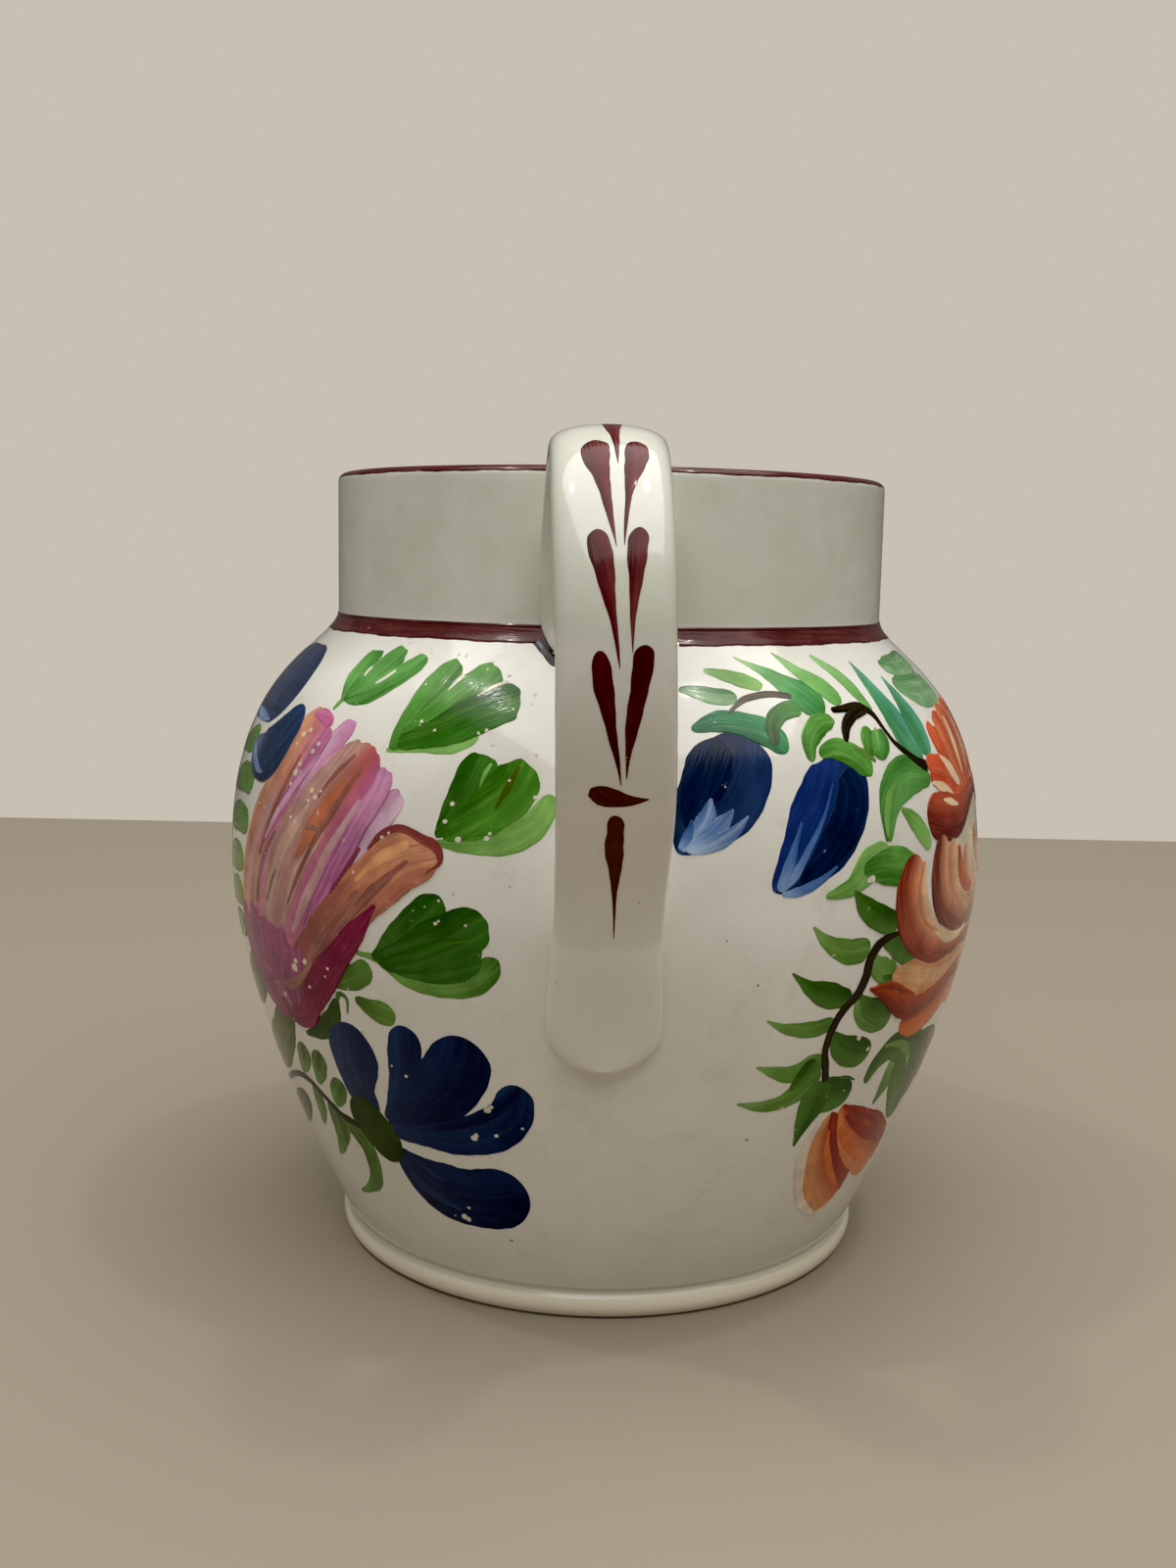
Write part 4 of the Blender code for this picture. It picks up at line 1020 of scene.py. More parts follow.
tulip = [
    (PALE_PINK, [(-53.0, 85.0, 3.0), (-48.6, 91.6, 4.8), (-43.4, 99.0, 5.0), (-38.6, 106.4, 4.0)]),
    (PETAL_A, [(-57.5, 60.0, 11.0), (-59.0, 68.0, 13.0), (-57.2, 78.0, 13.0), (-53.6, 88.0, 12.4),
               (-49.6, 98.0, 10.2), (-46.0, 108.0, 8.6)]),
    (PEACH_BROWN, [(-62.4, 72.0, 1.0), (-60.0, 81.0, 2.2), (-56.6, 89.0, 2.8), (-53.2, 97.0, 2.6),
                   (-50.6, 104.0, 1.2)]),
    (ROSE_STREAK, [(-60.4, 70.0, 1.0), (-58.4, 79.0, 2.0), (-54.8, 87.0, 2.0), (-51.6, 94.0, 0.8)]),
    (BROWN, [(-56.0, 80.0, 0.5), (-53.4, 86.0, 1.2), (-50.4, 93.0, 1.4), (-48.2, 99.0, 0.6)]),
    (PINK, [(-52.8, 85.6, 1.0), (-48.9, 92.4, 2.4), (-45.4, 98.6, 3.0), (-43.2, 105.0, 3.2)]),
    (PALE_PINK, [(-54.4, 83.0, 0.8), (-50.4, 89.2, 2.0), (-47.0, 94.4, 1.8), (-43.8, 99.6, 0.5)]),
    (PINK_CAP, [(-48.8, 106.6, 1.2), (-46.4, 106.4, 2.4), (-43.4, 105.0, 2.0)]),
    (GREY_STREAK, [(-57.2, 71.0, 0.7), (-55.8, 76.6, 1.3), (-53.8, 81.2, 1.1), (-51.4, 85.0, 0.4)]),
    (PETAL_C, [(-36.5, 79.0, 2.0), (-33.2, 86.0, 4.8), (-30.2, 91.0, 5.6), (-27.2, 95.2, 3.4)]),
    (PETAL_B, [(-51.5, 58.0, 9.0), (-50.0, 68.0, 13.0), (-45.8, 80.0, 16.6), (-40.0, 90.0, 15.0),
               (-35.8, 97.0, 12.8), (-33.0, 102.4, 9.6)]),
    (BEIGE, [(-53.6, 69.0, 1.2), (-51.4, 77.0, 2.8), (-47.4, 85.0, 2.6), (-43.6, 91.0, 0.8)]),
    (BEIGE, [(-49.6, 68.0, 1.2), (-46.0, 77.0, 2.2), (-42.0, 84.0, 1.8), (-39.0, 89.0, 0.5)]),
    (GREY_STREAK, [(-53.4, 72.0, 0.5), (-52.0, 75.6, 1.0), (-50.6, 78.4, 0.5)]),
    (ORANGE, [(-45.4, 81.6, 1.0), (-43.2, 85.6, 3.2), (-40.4, 90.4, 3.2), (-36.8, 96.4, 1.6)]),
    (BROWN, [(-47.5, 73.0, 0.5), (-43.4, 81.6, 1.1), (-38.8, 90.2, 1.3), (-34.4, 98.6, 0.7)]),
    (GREY_STREAK, [(-43.6, 86.8, 0.4), (-42.2, 87.2, 1.0), (-40.8, 86.8, 0.3)]),
    (BROWN, [(-42.0, 92.4, 0.4), (-39.4, 96.6, 1.0), (-36.4, 100.4, 0.5)]),
    (ROSE_STREAK, [(-46.8, 68.0, 1.0), (-42.0, 77.0, 2.4), (-37.6, 85.4, 2.4), (-33.8, 93.0, 0.9)]),
    (MAGENTA, [(-46.8, 61.6, 2.2), (-42.4, 70.6, 3.4), (-38.2, 79.6, 3.8), (-34.2, 88.0, 4.0),
               (-31.2, 94.6, 3.8), (-30.2, 99.6, 3.2)]),
    (WINE_LINE, [(-48.0, 60.0, 0.8), (-43.8, 66.6, 1.4), (-39.6, 73.4, 1.3), (-35.6, 80.8, 1.0),
                 (-33.2, 85.2, 0.5)]),
    (PETAL_D, [(-50.0, 56.0, 5.0), (-44.5, 62.6, 8.2), (-38.4, 70.0, 9.4), (-32.0, 78.2, 9.4),
               (-26.6, 83.8, 9.8), (-21.2, 85.8, 7.2)]),
    (AMBER, [(-33.6, 79.6, 0.6), (-29.6, 84.0, 1.8), (-25.4, 86.8, 1.4)]),
    (BROWN, [(-49.0, 57.6, 0.8), (-43.8, 64.4, 2.0), (-38.6, 70.8, 1.8), (-33.2, 78.2, 0.8)]),
    (BROWN, [(-41.5, 65.2, 0.8), (-35.6, 72.4, 1.6), (-29.6, 79.8, 1.6), (-25.4, 84.2, 0.6)]),
    (CRIMSON, [(-49.6, 51.4, 4.4), (-44.8, 56.4, 6.6), (-40.2, 62.2, 6.0), (-36.2, 67.4, 4.8),
               (-32.6, 72.8, 2.8), (-30.2, 76.2, 0.6)]),
    (MADDER, [(-51.5, 51.6, 6.0), (-56.5, 56.5, 11.0), (-60.2, 62.5, 11.0), (-61.2, 71.5, 8.0)]),
    (MADDER, [(-50.0, 51.6, 6.0), (-52.8, 57.0, 12.0), (-53.4, 63.5, 12.6), (-53.4, 71.0, 11.0)]),
    (MADDER, [(-49.6, 52.0, 5.0), (-49.2, 58.0, 8.0), (-48.0, 63.0, 7.0), (-46.8, 68.0, 4.6)]),
    (CRIMSON, [(-53.6, 54.4, 2.6), (-50.6, 51.8, 4.4), (-46.6, 52.8, 4.8), (-43.6, 56.6, 3.0)]),
    (ROSE_LOW, [(-57.4, 60.0, 0.8), (-54.4, 57.0, 3.0), (-51.6, 54.6, 2.4), (-50.4, 53.0, 0.8)]),
    (WINE_LINE, [(-58.4, 55.8, 0.5), (-54.6, 57.6, 1.0), (-51.0, 58.6, 0.5)]),
    (BROWN, [(-51.4, 57.2, 0.8), (-49.0, 57.8, 2.2), (-45.6, 60.4, 1.6), (-42.8, 63.6, 0.6)]),
    (OUTLINE, [(-31.8, 85.2, 0.5), (-29.8, 87.8, 1.2), (-26.8, 89.2, 1.4), (-23.8, 88.0, 1.5),
               (-21.4, 86.6, 1.6), (-20.8, 84.8, 0.8), (-22.8, 82.4, 0.3)]),
]
tulip_flakes = specks(FLAKE, (
    (-48.0, 103.4, 1.3), (-49.4, 102.4, 1.6), (-50.2, 100.6, 0.8), (-44.8, 101.2, 1.4), (-45.6, 99.8, 1.5),
    (-47.8, 97.2, 1.2), (-48.4, 95.6, 1.7), (-49.0, 93.6, 1.1), (-47.2, 96.0, 0.7), (-43.6, 93.2, 1.2),
    (-42.6, 92.2, 1.5), (-41.6, 93.4, 0.8), (-44.0, 91.4, 0.9), (-47.6, 88.0, 0.9), (-46.4, 87.4, 0.7),
    (-51.4, 88.8, 0.9), (-47.4, 61.4, 2.2), (-46.8, 62.8, 1.4), (-44.6, 63.2, 1.5), (-44.4, 58.6, 0.9),
    (-52.0, 55.0, 1.5), (-39.6, 63.2, 0.9), (-40.4, 61.6, 0.6), (-36.0, 86.0, 0.6), (-29.6, 87.4, 0.9),
    (-28.6, 88.2, 0.7), (-34.0, 81.0, 0.7), (-54.6, 97.4, 0.8), (-57.8, 88.8, 0.8)))
enamel_piece("tulip", tulip + tulip_flakes, tulip_enamel, seed=13)
enamel_piece("tulip_far", copied(tulip, mirror_at=LEFT_AXIS), tulip_enamel, seed=33)

# The blue flower
# Five dabs of cobalt from a green calyx, each loaded dark at one side so that the
# strokes inside it show, with chips where the enamel has come away from the glaze.
NAVY = paint(ink(22, 40, 80), ink(12, 26, 62), ink(11, 23, 56), left=ink(18, 38, 78), streak=ink(34, 60, 106),
             strength=0.20, reach=0.7)
NAVY_SOFT = paint(ink(24, 46, 84), ink(17, 37, 78), ink(13, 29, 68), left=ink(26, 52, 92),
                  streak=ink(42, 72, 116), strength=0.28, reach=0.8)
NAVY_GLOW = paint(ink(28, 52, 88), ink(34, 60, 96), streak=ink(14, 34, 72), strength=0.60)
CALYX = paint(ink(30, 54, 8), ink(44, 68, 14), ink(28, 50, 8), streak=ink(66, 90, 26), strength=0.30)
blue_enamel = enamel("blue_enamel", hair=0.4)
blue_flower = [
    (NAVY_SOFT, [(-34.2, 35.2, 1.5), (-30.2, 41.0, 5.6), (-28.4, 47.0, 7.2), (-27.2, 55.4, 6.6)]),
    (NAVY_SOFT, [(-36.5, 34.6, 5.0), (-38.4, 40.0, 8.6), (-38.3, 45.6, 12.2), (-37.0, 53.4, 10.6)]),
    (NAVY_GLOW, [(-36.0, 36.6, 1.0), (-38.4, 41.6, 2.4), (-39.2, 47.0, 1.0)]),
    (NAVY, [(-33.8, 34.4, 2.0), (-27.6, 39.4, 7.4), (-22.0, 44.6, 12.2), (-19.4, 50.0, 12.0),
            (-18.4, 55.0, 10.0)]),
    (NAVY_SOFT, [(-33.4, 33.0, 3.0), (-27.5, 33.4, 5.0), (-21.5, 34.4, 7.2), (-15.5, 37.0, 8.8),
                 (-12.2, 41.2, 8.0), (-11.4, 46.8, 6.4)]),
    (NAVY, [(-31.0, 34.6, 0.8), (-24.0, 36.2, 2.0), (-17.0, 39.6, 2.4), (-12.6, 44.0, 2.2),
            (-11.0, 46.4, 0.8)]),
    (NAVY, [(-34.0, 28.6, 2.6), (-30.8, 24.6, 9.4), (-25.6, 21.4, 13.4), (-19.5, 21.0, 13.6),
            (-14.5, 22.2, 13.6), (-10.8, 22.8, 12.4)]),
    (NAVY_GLOW, [(-33.4, 27.0, 0.8), (-30.8, 22.6, 2.6), (-27.2, 19.2, 2.2), (-23.6, 17.6, 0.6)]),
    (NAVY_GLOW, [(-31.8, 28.4, 0.6), (-28.6, 25.6, 1.2), (-25.6, 23.8, 0.4)]),
    (CALYX, [(-41.2, 37.4, 8.2), (-37.8, 32.4, 10.2), (-33.7, 26.2, 7.4)]),
]
blue_chips = specks(BARE, (
    (-28.3, 45.5, 0.9), (-30.6, 47.0, 0.6), (-15.9, 41.2, 1.8), (-15.3, 42.0, 1.2), (-18.6, 35.0, 1.8),
    (-18.2, 35.6, 1.2), (-15.0, 36.1, 1.1), (-23.3, 16.0, 1.9), (-22.6, 15.6, 1.5), (-22.0, 18.5, 0.9),
    (-34.9, 52.6, 0.8), (-25.2, 15.8, 0.4), (-10.9, 38.2, 0.7)))
enamel_piece("blue_flower", blue_flower + blue_chips, blue_enamel, seed=14)
enamel_piece("blue_flower_far", copied(blue_flower, mirror_at=LEFT_AXIS), blue_enamel, seed=34)
enamel_piece("left_stems", left_stems + copied(left_stems, mirror_at=LEFT_AXIS), stem_enamel, seed=12)

# The buds
# Hanging buds in the same cobalt: two on the right under their leaves, fading to pale
# blue at the tip, and a slate-blue pair high on the left.
BUD_SLATE = paint(ink(52, 84, 136), ink(27, 41, 72), ink(30, 46, 76), left=ink(27, 40, 68),
                  right=ink(34, 54, 96), streak=ink(58, 78, 116), strength=0.22, reach=0.7)
BUD_ROYAL = paint(ink(44, 74, 134), ink(27, 48, 106), ink(25, 43, 94), left=ink(31, 50, 112),
                  right=ink(24, 40, 84), streak=ink(50, 78, 134), strength=0.26, reach=0.6)
BUD_INK = paint(ink(22, 34, 62), ink(20, 32, 58), streak=ink(32, 52, 92), strength=0.40, fray=1.4)
BUD_PALE = paint(ink(156, 182, 216), ink(88, 124, 180), ink(62, 98, 158), streak=ink(190, 206, 226),
                 strength=0.45, fray=0.8)
BUD_RIB = paint(ink(138, 168, 210), ink(70, 108, 168), ink(42, 72, 134), streak=ink(96, 132, 186),
                strength=0.40)
SLATE = paint(ink(110, 120, 146), ink(68, 80, 108), ink(54, 66, 94), ink(46, 58, 84), right=ink(46, 58, 86),
              streak=ink(84, 96, 122), strength=0.25, reach=0.5)
SLATE_DARK = paint(ink(112, 132, 166), ink(44, 58, 84), ink(38, 54, 82), ink(38, 58, 98),
                   streak=ink(72, 92, 128), strength=0.28, fray=0.4)
bud_enamel = enamel("bud_enamel", worn=0.008, hair=0.7)
right_buds = [
    (BUD_SLATE, [(9.2, 87.4, 2.4), (12.2, 92.2, 11.0), (15.6, 97.8, 15.4), (17.6, 103.0, 13.6),
                 (18.2, 107.0, 9.0)]),
    (BUD_INK, [(10.6, 91.0, 1.6), (12.0, 96.0, 6.4), (14.0, 101.4, 7.6), (15.6, 106.0, 5.0)]),
    (BUD_PALE, [(9.6, 87.8, 1.4), (11.8, 90.6, 3.6), (13.2, 93.4, 2.8), (13.7, 96.0, 0.4)]),
    (BUD_PALE, [(10.2, 87.8, 1.4), (13.2, 89.8, 3.4), (15.2, 92.0, 2.6), (16.6, 94.2, 0.3)]),
    (BUD_PALE, [(10.8, 87.5, 1.2), (14.0, 88.8, 2.4), (17.0, 91.0, 1.8), (18.6, 93.0, 0.3)]),
    (BUD_RIB, [(9.4, 88.0, 0.8), (10.6, 90.2, 1.6), (11.0, 92.6, 0.4)]),
    (BUD_ROYAL, [(21.8, 80.8, 1.6), (25.4, 84.6, 9.2), (29.4, 90.0, 14.6), (32.2, 95.4, 14.6),
                 (33.6, 99.4, 11.6), (34.0, 102.8, 7.6)]),
    (BUD_INK, [(25.8, 81.8, 1.6), (30.0, 86.4, 5.6), (33.6, 91.6, 7.0), (34.8, 97.0, 5.8),
               (33.8, 100.0, 2.4)]),
    (BUD_RIB, [(22.4, 81.0, 1.6), (24.6, 82.8, 1.9), (26.8, 86.8, 1.2), (29.6, 92.0, 0.7),
               (31.8, 97.6, 0.3)]),
    (BUD_RIB, [(22.6, 81.4, 1.0), (24.0, 84.4, 2.0), (25.0, 88.0, 1.2), (26.2, 91.6, 0.4)]),
    (BUD_RIB, [(23.0, 80.2, 0.8), (25.4, 80.4, 1.6), (28.4, 81.6, 1.4), (31.4, 84.0, 0.4)]),
]
left_buds = [
    (SLATE, [(-90.0, 108.0, 6.0), (-82.0, 110.6, 14.0), (-73.0, 111.8, 17.6), (-64.4, 111.8, 17.6),
             (-57.4, 110.8, 16.0)]),
    (BUD_PALE, [(-76.0, 104.6, 0.8), (-71.0, 104.0, 1.8), (-66.0, 103.6, 1.6), (-63.6, 103.6, 0.4)]),
    (SLATE_DARK, [(-66.4, 99.2, 2.6), (-62.6, 97.4, 8.4), (-58.0, 98.4, 11.2), (-55.0, 102.0, 9.4),
                  (-52.6, 107.6, 6.4)]),
    (BUD_PALE, [(-65.6, 98.8, 0.6), (-63.4, 96.0, 1.6), (-60.4, 94.4, 1.2), (-58.8, 94.2, 0.3)]),
]
enamel_piece("buds", right_buds + left_buds, bud_enamel, seed=15)
far_buds = copied(right_buds, mirror_at=RIGHT_AXIS) + copied(left_buds[2:], mirror_at=LEFT_AXIS)
enamel_piece("buds_far", far_buds, bud_enamel, seed=35)

# The sprig and the right-hand leaves
# Blades of cold green under the neck, leaves that hood the buds, and a fern-like sprig
# of paired leaves that hangs beside the rose down to the ochre flower.
BLADE = paint(ink(168, 206, 136), ink(104, 164, 96), ink(66, 138, 78), ink(60, 128, 58),
              streak=ink(120, 178, 116), strength=0.35)
BLADE_FRESH = paint(ink(156, 200, 132), ink(120, 176, 98), ink(96, 158, 78), streak=ink(146, 192, 122),
                    strength=0.40)
BLADE_COLD = paint(ink(96, 158, 112), ink(62, 132, 82), ink(64, 132, 84), left=ink(84, 156, 126),
                   streak=ink(118, 178, 140), strength=0.35)
SPRIG_LIGHT = paint(ink(122, 162, 84), ink(98, 142, 60), ink(78, 124, 46), streak=ink(148, 182, 108),
                    strength=0.32)
SPRIG_DARK = paint(ink(66, 110, 36), ink(42, 86, 20), ink(32, 72, 14), right=ink(80, 122, 48),
                   streak=ink(84, 126, 52), strength=0.28)
high_right_leaves = [
    (LEAF_SAGE, [(54.6, 114.4, 2.6), (59.0, 113.4, 7.0), (66.0, 112.8, 8.4), (73.0, 112.4, 8.0)]),
    (LEAF_SAGE, [(55.4, 118.8, 2.6), (60.0, 118.6, 4.8), (67.0, 119.0, 5.4), (73.0, 119.4, 5.0)]),
    (LEAF_LIGHT, [(15.5, 119.2, 0.8), (18.6, 118.2, 2.8), (22.0, 116.6, 3.4), (24.8, 115.7, 2.0)]),
    (LEAF_SAGE, [(10.8, 115.0, 1.0), (13.5, 114.6, 2.8), (16.8, 113.6, 3.4), (19.8, 113.2, 2.4)]),
    (BLADE, [(21.6, 122.2, 0.3), (25.4, 119.2, 2.2), (28.8, 116.0, 4.8), (31.6, 113.0, 7.2),
             (33.6, 109.6, 5.4)]),
    (BLADE_FRESH, [(29.4, 123.1, 0.3), (32.6, 118.8, 3.0), (35.8, 115.0, 4.6), (38.0, 111.6, 3.6)]),
    (BLADE_FRESH, [(37.6, 122.3, 1.0), (40.2, 118.8, 3.0), (42.2, 114.6, 3.4), (43.9, 109.6, 1.4)]),
    (BLADE_COLD, [(46.6, 120.6, 0.3), (47.3, 114.6, 3.8), (48.4, 108.4, 6.2), (50.2, 102.8, 6.2),
                  (52.0, 99.8, 3.8)]),
    (BLADE_COLD, [(52.6, 116.6, 0.3), (53.0, 112.2, 3.8), (53.6, 106.4, 6.2), (54.3, 100.2, 4.6)]),
    (LEAF_COLD, [(11.8, 107.5, 1.2), (15.0, 108.6, 3.6), (19.0, 108.5, 4.4), (22.8, 106.7, 5.2),
                 (25.6, 103.0, 3.4)]),
    (GREY_GREEN, [(23.9, 104.4, 1.8), (24.0, 107.6, 3.0), (26.2, 110.4, 3.2), (30.0, 111.3, 3.4)]),
    (LEAF, [(29.0, 101.4, 1.4), (29.5, 105.0, 3.4), (31.6, 107.7, 4.0), (35.2, 108.4, 2.4)]),
    (LEAF, [(30.5, 102.6, 1.6), (33.6, 103.2, 4.0), (37.0, 101.6, 4.6), (39.4, 97.6, 3.2)]),
    (LEAF_WARM, [(37.0, 103.2, 0.6), (39.4, 102.0, 1.4), (40.6, 100.6, 0.6)]),
    (LEAF, [(39.9, 101.6, 2.0), (40.6, 104.6, 3.8), (41.8, 107.2, 2.6)]),
    (LEAF_FRESH, [(40.9, 101.4, 2.6), (42.7, 103.6, 4.6), (43.5, 107.0, 3.0)]),
    (LEAF_LIGHT, [(41.8, 102.4, 0.4), (42.4, 104.6, 0.8), (42.8, 106.6, 0.4)]),
    (LEAF_FRESH, [(52.8, 96.4, 2.4), (49.8, 97.3, 5.6), (45.6, 97.4, 7.6), (42.4, 94.4, 6.4),
                  (41.1, 90.6, 3.6), (40.9, 86.6, 1.4)]),
    (LEAF_LIGHT, [(43.8, 96.8, 0.6), (41.6, 93.8, 1.8), (40.6, 89.8, 1.2), (40.7, 87.6, 0.4)]),
    (LEAF_LIGHT, [(44.2, 92.2, 0.6), (46.6, 89.8, 3.2), (49.0, 87.0, 3.4), (50.4, 84.4, 1.6)]),
    (LEAF_LIGHT, [(29.6, 79.2, 0.8), (33.6, 80.4, 3.2), (37.2, 83.6, 5.8), (40.8, 86.4, 3.2)]),
    (LEAF, [(35.8, 82.8, 2.0), (40.4, 83.0, 6.6), (44.6, 81.9, 6.2), (48.6, 80.1, 3.2)]),
    (BARE, [(36.4, 81.0, 0.9), (37.9, 81.2, 1.4)]),
]
sprig = [
    (SPRIG_DARK, [(34.2, 79.7, 0.4), (36.2, 76.8, 3.4), (39.4, 74.2, 4.8), (42.8, 72.2, 3.8)]),
    (SPRIG_LIGHT, [(27.8, 74.4, 0.4), (30.6, 71.0, 2.8), (33.8, 69.4, 4.6), (37.8, 69.4, 4.0)]),
    (SPRIG_DARK, [(25.2, 66.8, 0.4), (28.2, 63.8, 2.6), (31.8, 61.9, 4.8), (35.6, 60.4, 3.2)]),
    (SPRIG_LIGHT, [(22.3, 58.7, 0.3), (25.4, 56.8, 1.8), (29.4, 56.0, 3.4), (33.4, 56.6, 2.4)]),
    (SPRIG_LIGHT, [(21.8, 50.0, 0.3), (24.8, 48.6, 2.2), (28.2, 47.8, 3.8), (31.6, 48.8, 4.6),
                   (33.2, 49.6, 3.0)]),
    (SPRIG_LIGHT, [(19.9, 43.0, 0.4), (24.0, 41.9, 2.2), (27.6, 42.4, 3.6), (30.6, 44.8, 4.6),
                   (32.8, 47.6, 3.0)]),
    (SPRIG_DARK, [(28.2, 44.2, 1.2), (30.0, 47.2, 3.6), (31.4, 50.0, 2.4)]),
    (SPRIG_DARK, [(40.4, 69.6, 1.0), (42.8, 68.8, 4.0), (45.4, 67.4, 4.8), (47.8, 66.0, 2.6)]),
    (SPRIG_LIGHT, [(38.3, 68.2, 1.0), (39.8, 65.8, 3.8), (42.2, 64.0, 4.4), (44.2, 62.6, 2.8)]),
    (SPRIG_DARK, [(41.0, 63.6, 0.6), (42.6, 62.9, 1.8), (44.0, 62.6, 0.8)]),
    (SPRIG_LIGHT, [(36.6, 61.4, 1.0), (38.6, 57.8, 4.6), (41.8, 55.8, 6.2), (45.2, 55.0, 4.4)]),
    (SPRIG_DARK, [(37.2, 60.8, 0.8), (39.4, 58.2, 3.8), (42.2, 56.8, 4.8), (45.0, 56.0, 3.4)]),
    (SPRIG_DARK, [(33.2, 54.8, 1.0), (35.6, 51.6, 5.0), (38.8, 49.7, 5.8), (42.4, 49.3, 4.8)]),
    (BARE, [(41.4, 49.5, 0.7), (42.1, 49.7, 0.9)]),
    (BARE, [(38.6, 52.6, 0.6), (39.4, 52.2, 0.9)]),
    (SPRIG_DARK, [(31.8, 42.0, 6.0), (35.2, 41.8, 7.2), (40.8, 41.2, 6.0)]),
    (SPRIG_DARK, [(33.8, 45.2, 5.0), (33.4, 41.2, 7.0), (32.4, 36.8, 4.4), (31.9, 31.8, 0.5)]),
    (SPRIG_DARK, [(37.0, 45.0, 0.4), (39.0, 44.6, 0.7), (40.8, 43.6, 0.3)]),
]
low_right_leaves = [
    (SPRIG_LIGHT, [(50.5, 46.0, 4.5), (50.4, 41.4, 4.6), (48.7, 36.0, 1.0)]),
    (MOSS, [(55.0, 46.0, 5.0), (62.0, 43.6, 9.4), (68.0, 40.0, 9.4), (73.0, 38.0, 8.0)]),
    (MOSS, [(58.0, 46.0, 8.0), (62.0, 40.0, 10.0), (64.0, 32.6, 6.4)]),
    (SPRIG_DARK, [(43.8, 42.0, 1.8), (44.9, 45.4, 3.4), (47.6, 48.0, 5.4), (52.4, 47.4, 7.6),
                  (58.0, 45.4, 8.0)]),
    (SPRIG_DARK, [(51.6, 46.4, 5.0), (55.6, 41.4, 11.0), (58.4, 35.6, 10.6), (60.2, 29.6, 5.0)]),
    (SPRIG_LIGHT, [(46.0, 49.0, 0.5), (50.0, 48.4, 1.6), (54.0, 45.4, 2.0), (57.0, 41.0, 0.6)]),
]
right_leaves = high_right_leaves + sprig
enamel_piece("right_leaves", low_right_leaves + right_leaves, leaf_enamel, seed=16)
enamel_piece("right_leaves_far", copied(low_right_leaves + right_leaves[2:], mirror_at=RIGHT_AXIS),
             leaf_enamel, seed=36)
enamel_piece("right_stems", right_stems + copied(right_stems, mirror_at=RIGHT_AXIS), stem_enamel, seed=37)

# The rose
# The great flower of the right side, in iron red: curved dabs round a pale heart, each
# dark brick at its outer edge and fading to peach, with a fan of petals over it.
BULB = paint(ink(128, 44, 36), ink(138, 52, 40), ink(158, 76, 56), ink(186, 108, 78), left=ink(176, 78, 52),
             right=ink(100, 30, 28), streak=ink(196, 112, 84), strength=0.22, reach=0.7)
FAN_RED = paint(ink(172, 76, 48), ink(206, 94, 56), ink(202, 88, 52), left=ink(218, 120, 76),
                right=ink(180, 70, 40), streak=ink(230, 146, 100), strength=0.36, reach=0.6, fray=1.8,
                tip=0.4)
TIP_RED = paint(ink(198, 74, 40), ink(214, 92, 54), streak=ink(228, 134, 92), strength=0.40, fray=0.6)
OUTER = paint(ink(206, 110, 78), ink(192, 92, 68), ink(180, 72, 52), ink(188, 84, 56),
              left=ink(228, 160, 120), right=ink(128, 40, 32), streak=ink(216, 132, 88), strength=0.26,
              reach=1.1)
INNER = paint(ink(206, 138, 104), ink(196, 114, 88), ink(182, 96, 76), left=ink(228, 170, 132),
              right=ink(112, 44, 36), streak=ink(218, 152, 112), strength=0.22, reach=1.1)
PEACH = paint(ink(222, 164, 122), ink(232, 184, 144), left=ink(236, 196, 160), right=ink(204, 132, 96),
              streak=ink(244, 210, 178), strength=0.45, reach=0.8)
CREAM = paint(ink(244, 206, 162), ink(240, 212, 180), streak=ink(248, 228, 204), strength=0.45)
HEART = paint(ink(226, 216, 192), ink(224, 204, 176), streak=ink(236, 226, 206), strength=0.40)
SAND = paint(ink(226, 168, 116), ink(228, 178, 126), ink(222, 164, 116), left=ink(206, 134, 88),
             right=ink(214, 140, 92), streak=ink(240, 204, 160), strength=0.40, reach=0.5)
BRICK = paint(ink(118, 14, 2), ink(140, 32, 6), ink(156, 56, 18), left=ink(176, 68, 18),
              streak=ink(190, 92, 40), strength=0.26, reach=0.8)
ORANGE_LOW = paint(ink(214, 96, 16), ink(210, 90, 14), ink(198, 88, 30), left=ink(152, 46, 4),
                   right=ink(222, 114, 40), streak=ink(228, 134, 62), strength=0.26, reach=0.7)
rose_enamel = enamel("rose_enamel", worn=0.020, hair=0.8)
